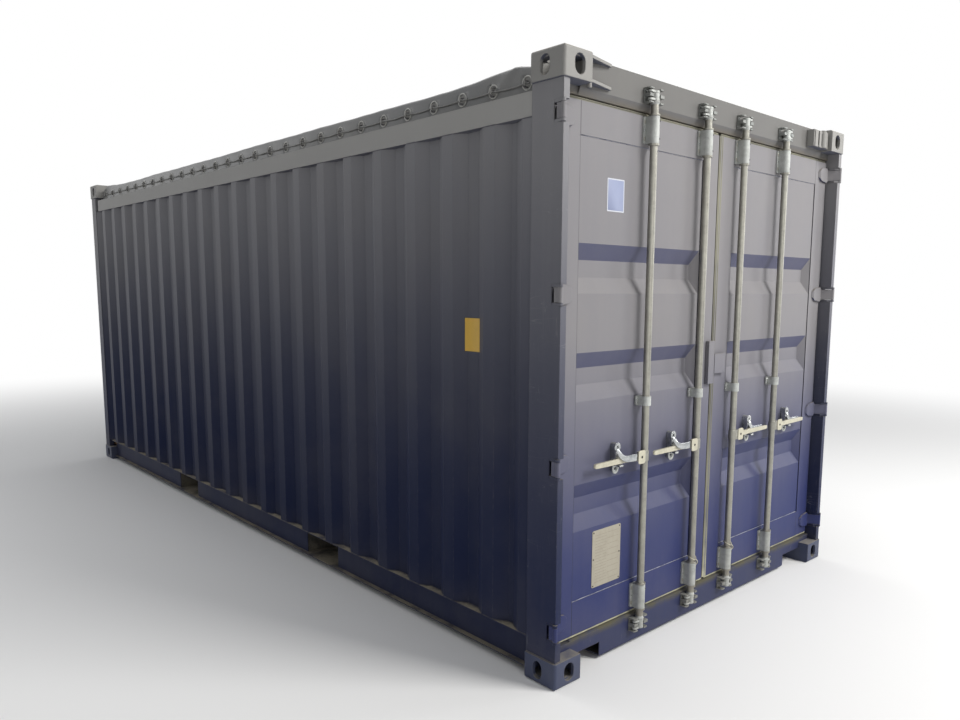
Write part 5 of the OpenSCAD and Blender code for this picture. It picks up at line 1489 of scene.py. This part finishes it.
@dataclass
class Studio:
    """Camera, floor and soft light."""

    spot: tuple[float, float, float] = (-3.441061, -5.088997, 1.675871)
    turn: tuple[float, float, float] = (1.612598, -0.633584, 0.567583)
    focal_px: float = 769.6245
    centre_px: tuple[float, float] = (508.0936, 387.4110)
    frame_px: tuple[int, int] = (960, 720)
    sensor: float = 36.0

    def camera(self) -> None:
        """Camera fitted to the photograph: rows of the turn are its right, down and forward directions."""
        data = bpy.data.cameras.new("camera")
        data.sensor_width = self.sensor
        data.lens = self.focal_px * self.sensor / self.frame_px[0]
        data.shift_x = -(self.centre_px[0] - self.frame_px[0] / 2) / self.frame_px[0]
        data.shift_y = (self.centre_px[1] - self.frame_px[1] / 2) / self.frame_px[0]
        data.clip_end = 200.0
        axis = Vector(self.turn)
        rows = Matrix.Rotation(axis.length, 3, axis.normalized())
        stand = Matrix((rows[0], -rows[1], -rows[2])).transposed().to_4x4()
        stand.translation = self.spot
        camera = bpy.data.objects.new("camera", data)
        camera.matrix_world = stand
        bpy.context.scene.collection.objects.link(camera)
        bpy.context.scene.camera = camera

    def floor(self) -> None:
        """Wide pale floor that fades into the white background far out."""
        ring = np.array([0.0, 4, 8, 12, 18, 26, 40, 70])
        a = np.arange(64) * 2 * np.pi / 64
        points = ring[1:, None, None] * np.stack([np.cos(a), np.sin(a), 0 * a], 1)[None]
        shape = Shape().add(points, grid_faces(len(ring) - 1, 64, close_cols=True)[:, ::-1], np.arange(64)[None])
        mesh = bpy.data.meshes.new("studio_floor")
        mesh.from_pydata(np.concatenate(shape.points).tolist(), [], [row for f in shape.faces for row in f.tolist()])
        floor = bpy.data.objects.new("studio_floor", mesh)
        bpy.context.scene.collection.objects.link(floor)
        paint = bpy.data.materials.new("studio_floor")
        g = open_tree(paint)
        matt = g.add("BsdfPrincipled", {"Base Color": (0.80, 0.80, 0.80), "Roughness": 0.9})
        glow = g.add("Emission", {"Color": (1, 1, 1), "Strength": 1.0})
        far = g.add("VectorMath", {0: g.add("TexCoord", output="Object")}, "Value", operation="LENGTH")
        ray = g.outputs(g.node("LightPath"))
        share = far.span(4.2, 11.0) * ray["Is Camera Ray"].most(ray["Is Glossy Ray"])
        g.node("OutputMaterial", {"Surface": g.add("MixShader", {0: share, 1: matt, 2: glow})})
        mesh.materials.append(paint)

    def lamp(self, name: str, spot: Sequence[float], aim: Sequence[float], size: tuple[float, float], power: float,
             tint: Colour = (1, 1, 1)) -> None:
        """A soft box of light.

        Args:
            name: Name of the lamp.
            spot: Its place.
            aim: The point that it looks at.
            size: Width and height.
            power: Watts.
            tint: Colour of the light.
        """
        data = bpy.data.lights.new(name, "AREA")
        data.shape, data.size, data.size_y, data.energy, data.color = "RECTANGLE", *size, power, tint
        lamp = bpy.data.objects.new(name, data)
        lamp.location = spot
        lamp.rotation_mode = "QUATERNION"
        lamp.rotation_quaternion = (Vector(aim) - Vector(spot)).to_track_quat("-Z", "Y")
        bpy.context.scene.collection.objects.link(lamp)

    def light(self) -> None:
        """World light that is white where it is seen, and five soft boxes."""
        world = bpy.data.worlds.new("studio")
        bpy.context.scene.world = world
        g = open_tree(world)
        ray = g.outputs(g.node("LightPath"))
        seen = ray["Is Camera Ray"].most(ray["Is Glossy Ray"]).most(ray["Is Transmission Ray"])
        lit = g.add("Background", {"Color": (0.95, 0.97, 1.0), "Strength": 0.30})
        white = g.add("Background", {"Color": (1, 1, 1), "Strength": 1.0})
        g.node("OutputWorld", {"Surface": g.add("MixShader", {0: seen, 1: lit, 2: white})})
        self.lamp("key", (2.3, -8.4, 6.4), (0.1, -3.0, 1.2), (3.2, 3.2), 665.0, (1.0, 0.985, 0.955))
        self.lamp("sheen", (6.2, -6.4, 2.6), (0.0, -3.0, 1.6), (1.4, 2.4), 90.0)
        self.lamp("fill", (-3.4, -9.6, 2.0), (0.4, -3.0, 1.3), (3.0, 2.0), 50.0, (1.0, 0.97, 0.92))
        self.lamp("far", (-5.6, 8.6, 3.2), (-1.2, 0.0, 1.4), (5.0, 4.0), 60.0)
        self.lamp("top", (0.0, 0.5, 7.5), (0.0, 0.0, 2.0), (5.0, 7.0), 260.0)

    def build(self) -> None:
        """Sets up the studio and the view."""
        bpy.context.scene.view_settings.view_transform = "Standard"
        self.camera()
        self.floor()
        self.light()


def main() -> None:
    """Builds each sub-assembly in order."""
    logging.basicConfig(level=logging.INFO, format="%(name)s: %(message)s")
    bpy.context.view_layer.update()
    Studio().build()
    Steelwork().dress()
    for part in (Tarpaulin(), LockGear(), SealLips(), Plates(), Welds(), FloorScrews()):
        part.build()
        LOG.info("built %s", type(part).__name__)


if __name__ == "__main__":
    main()
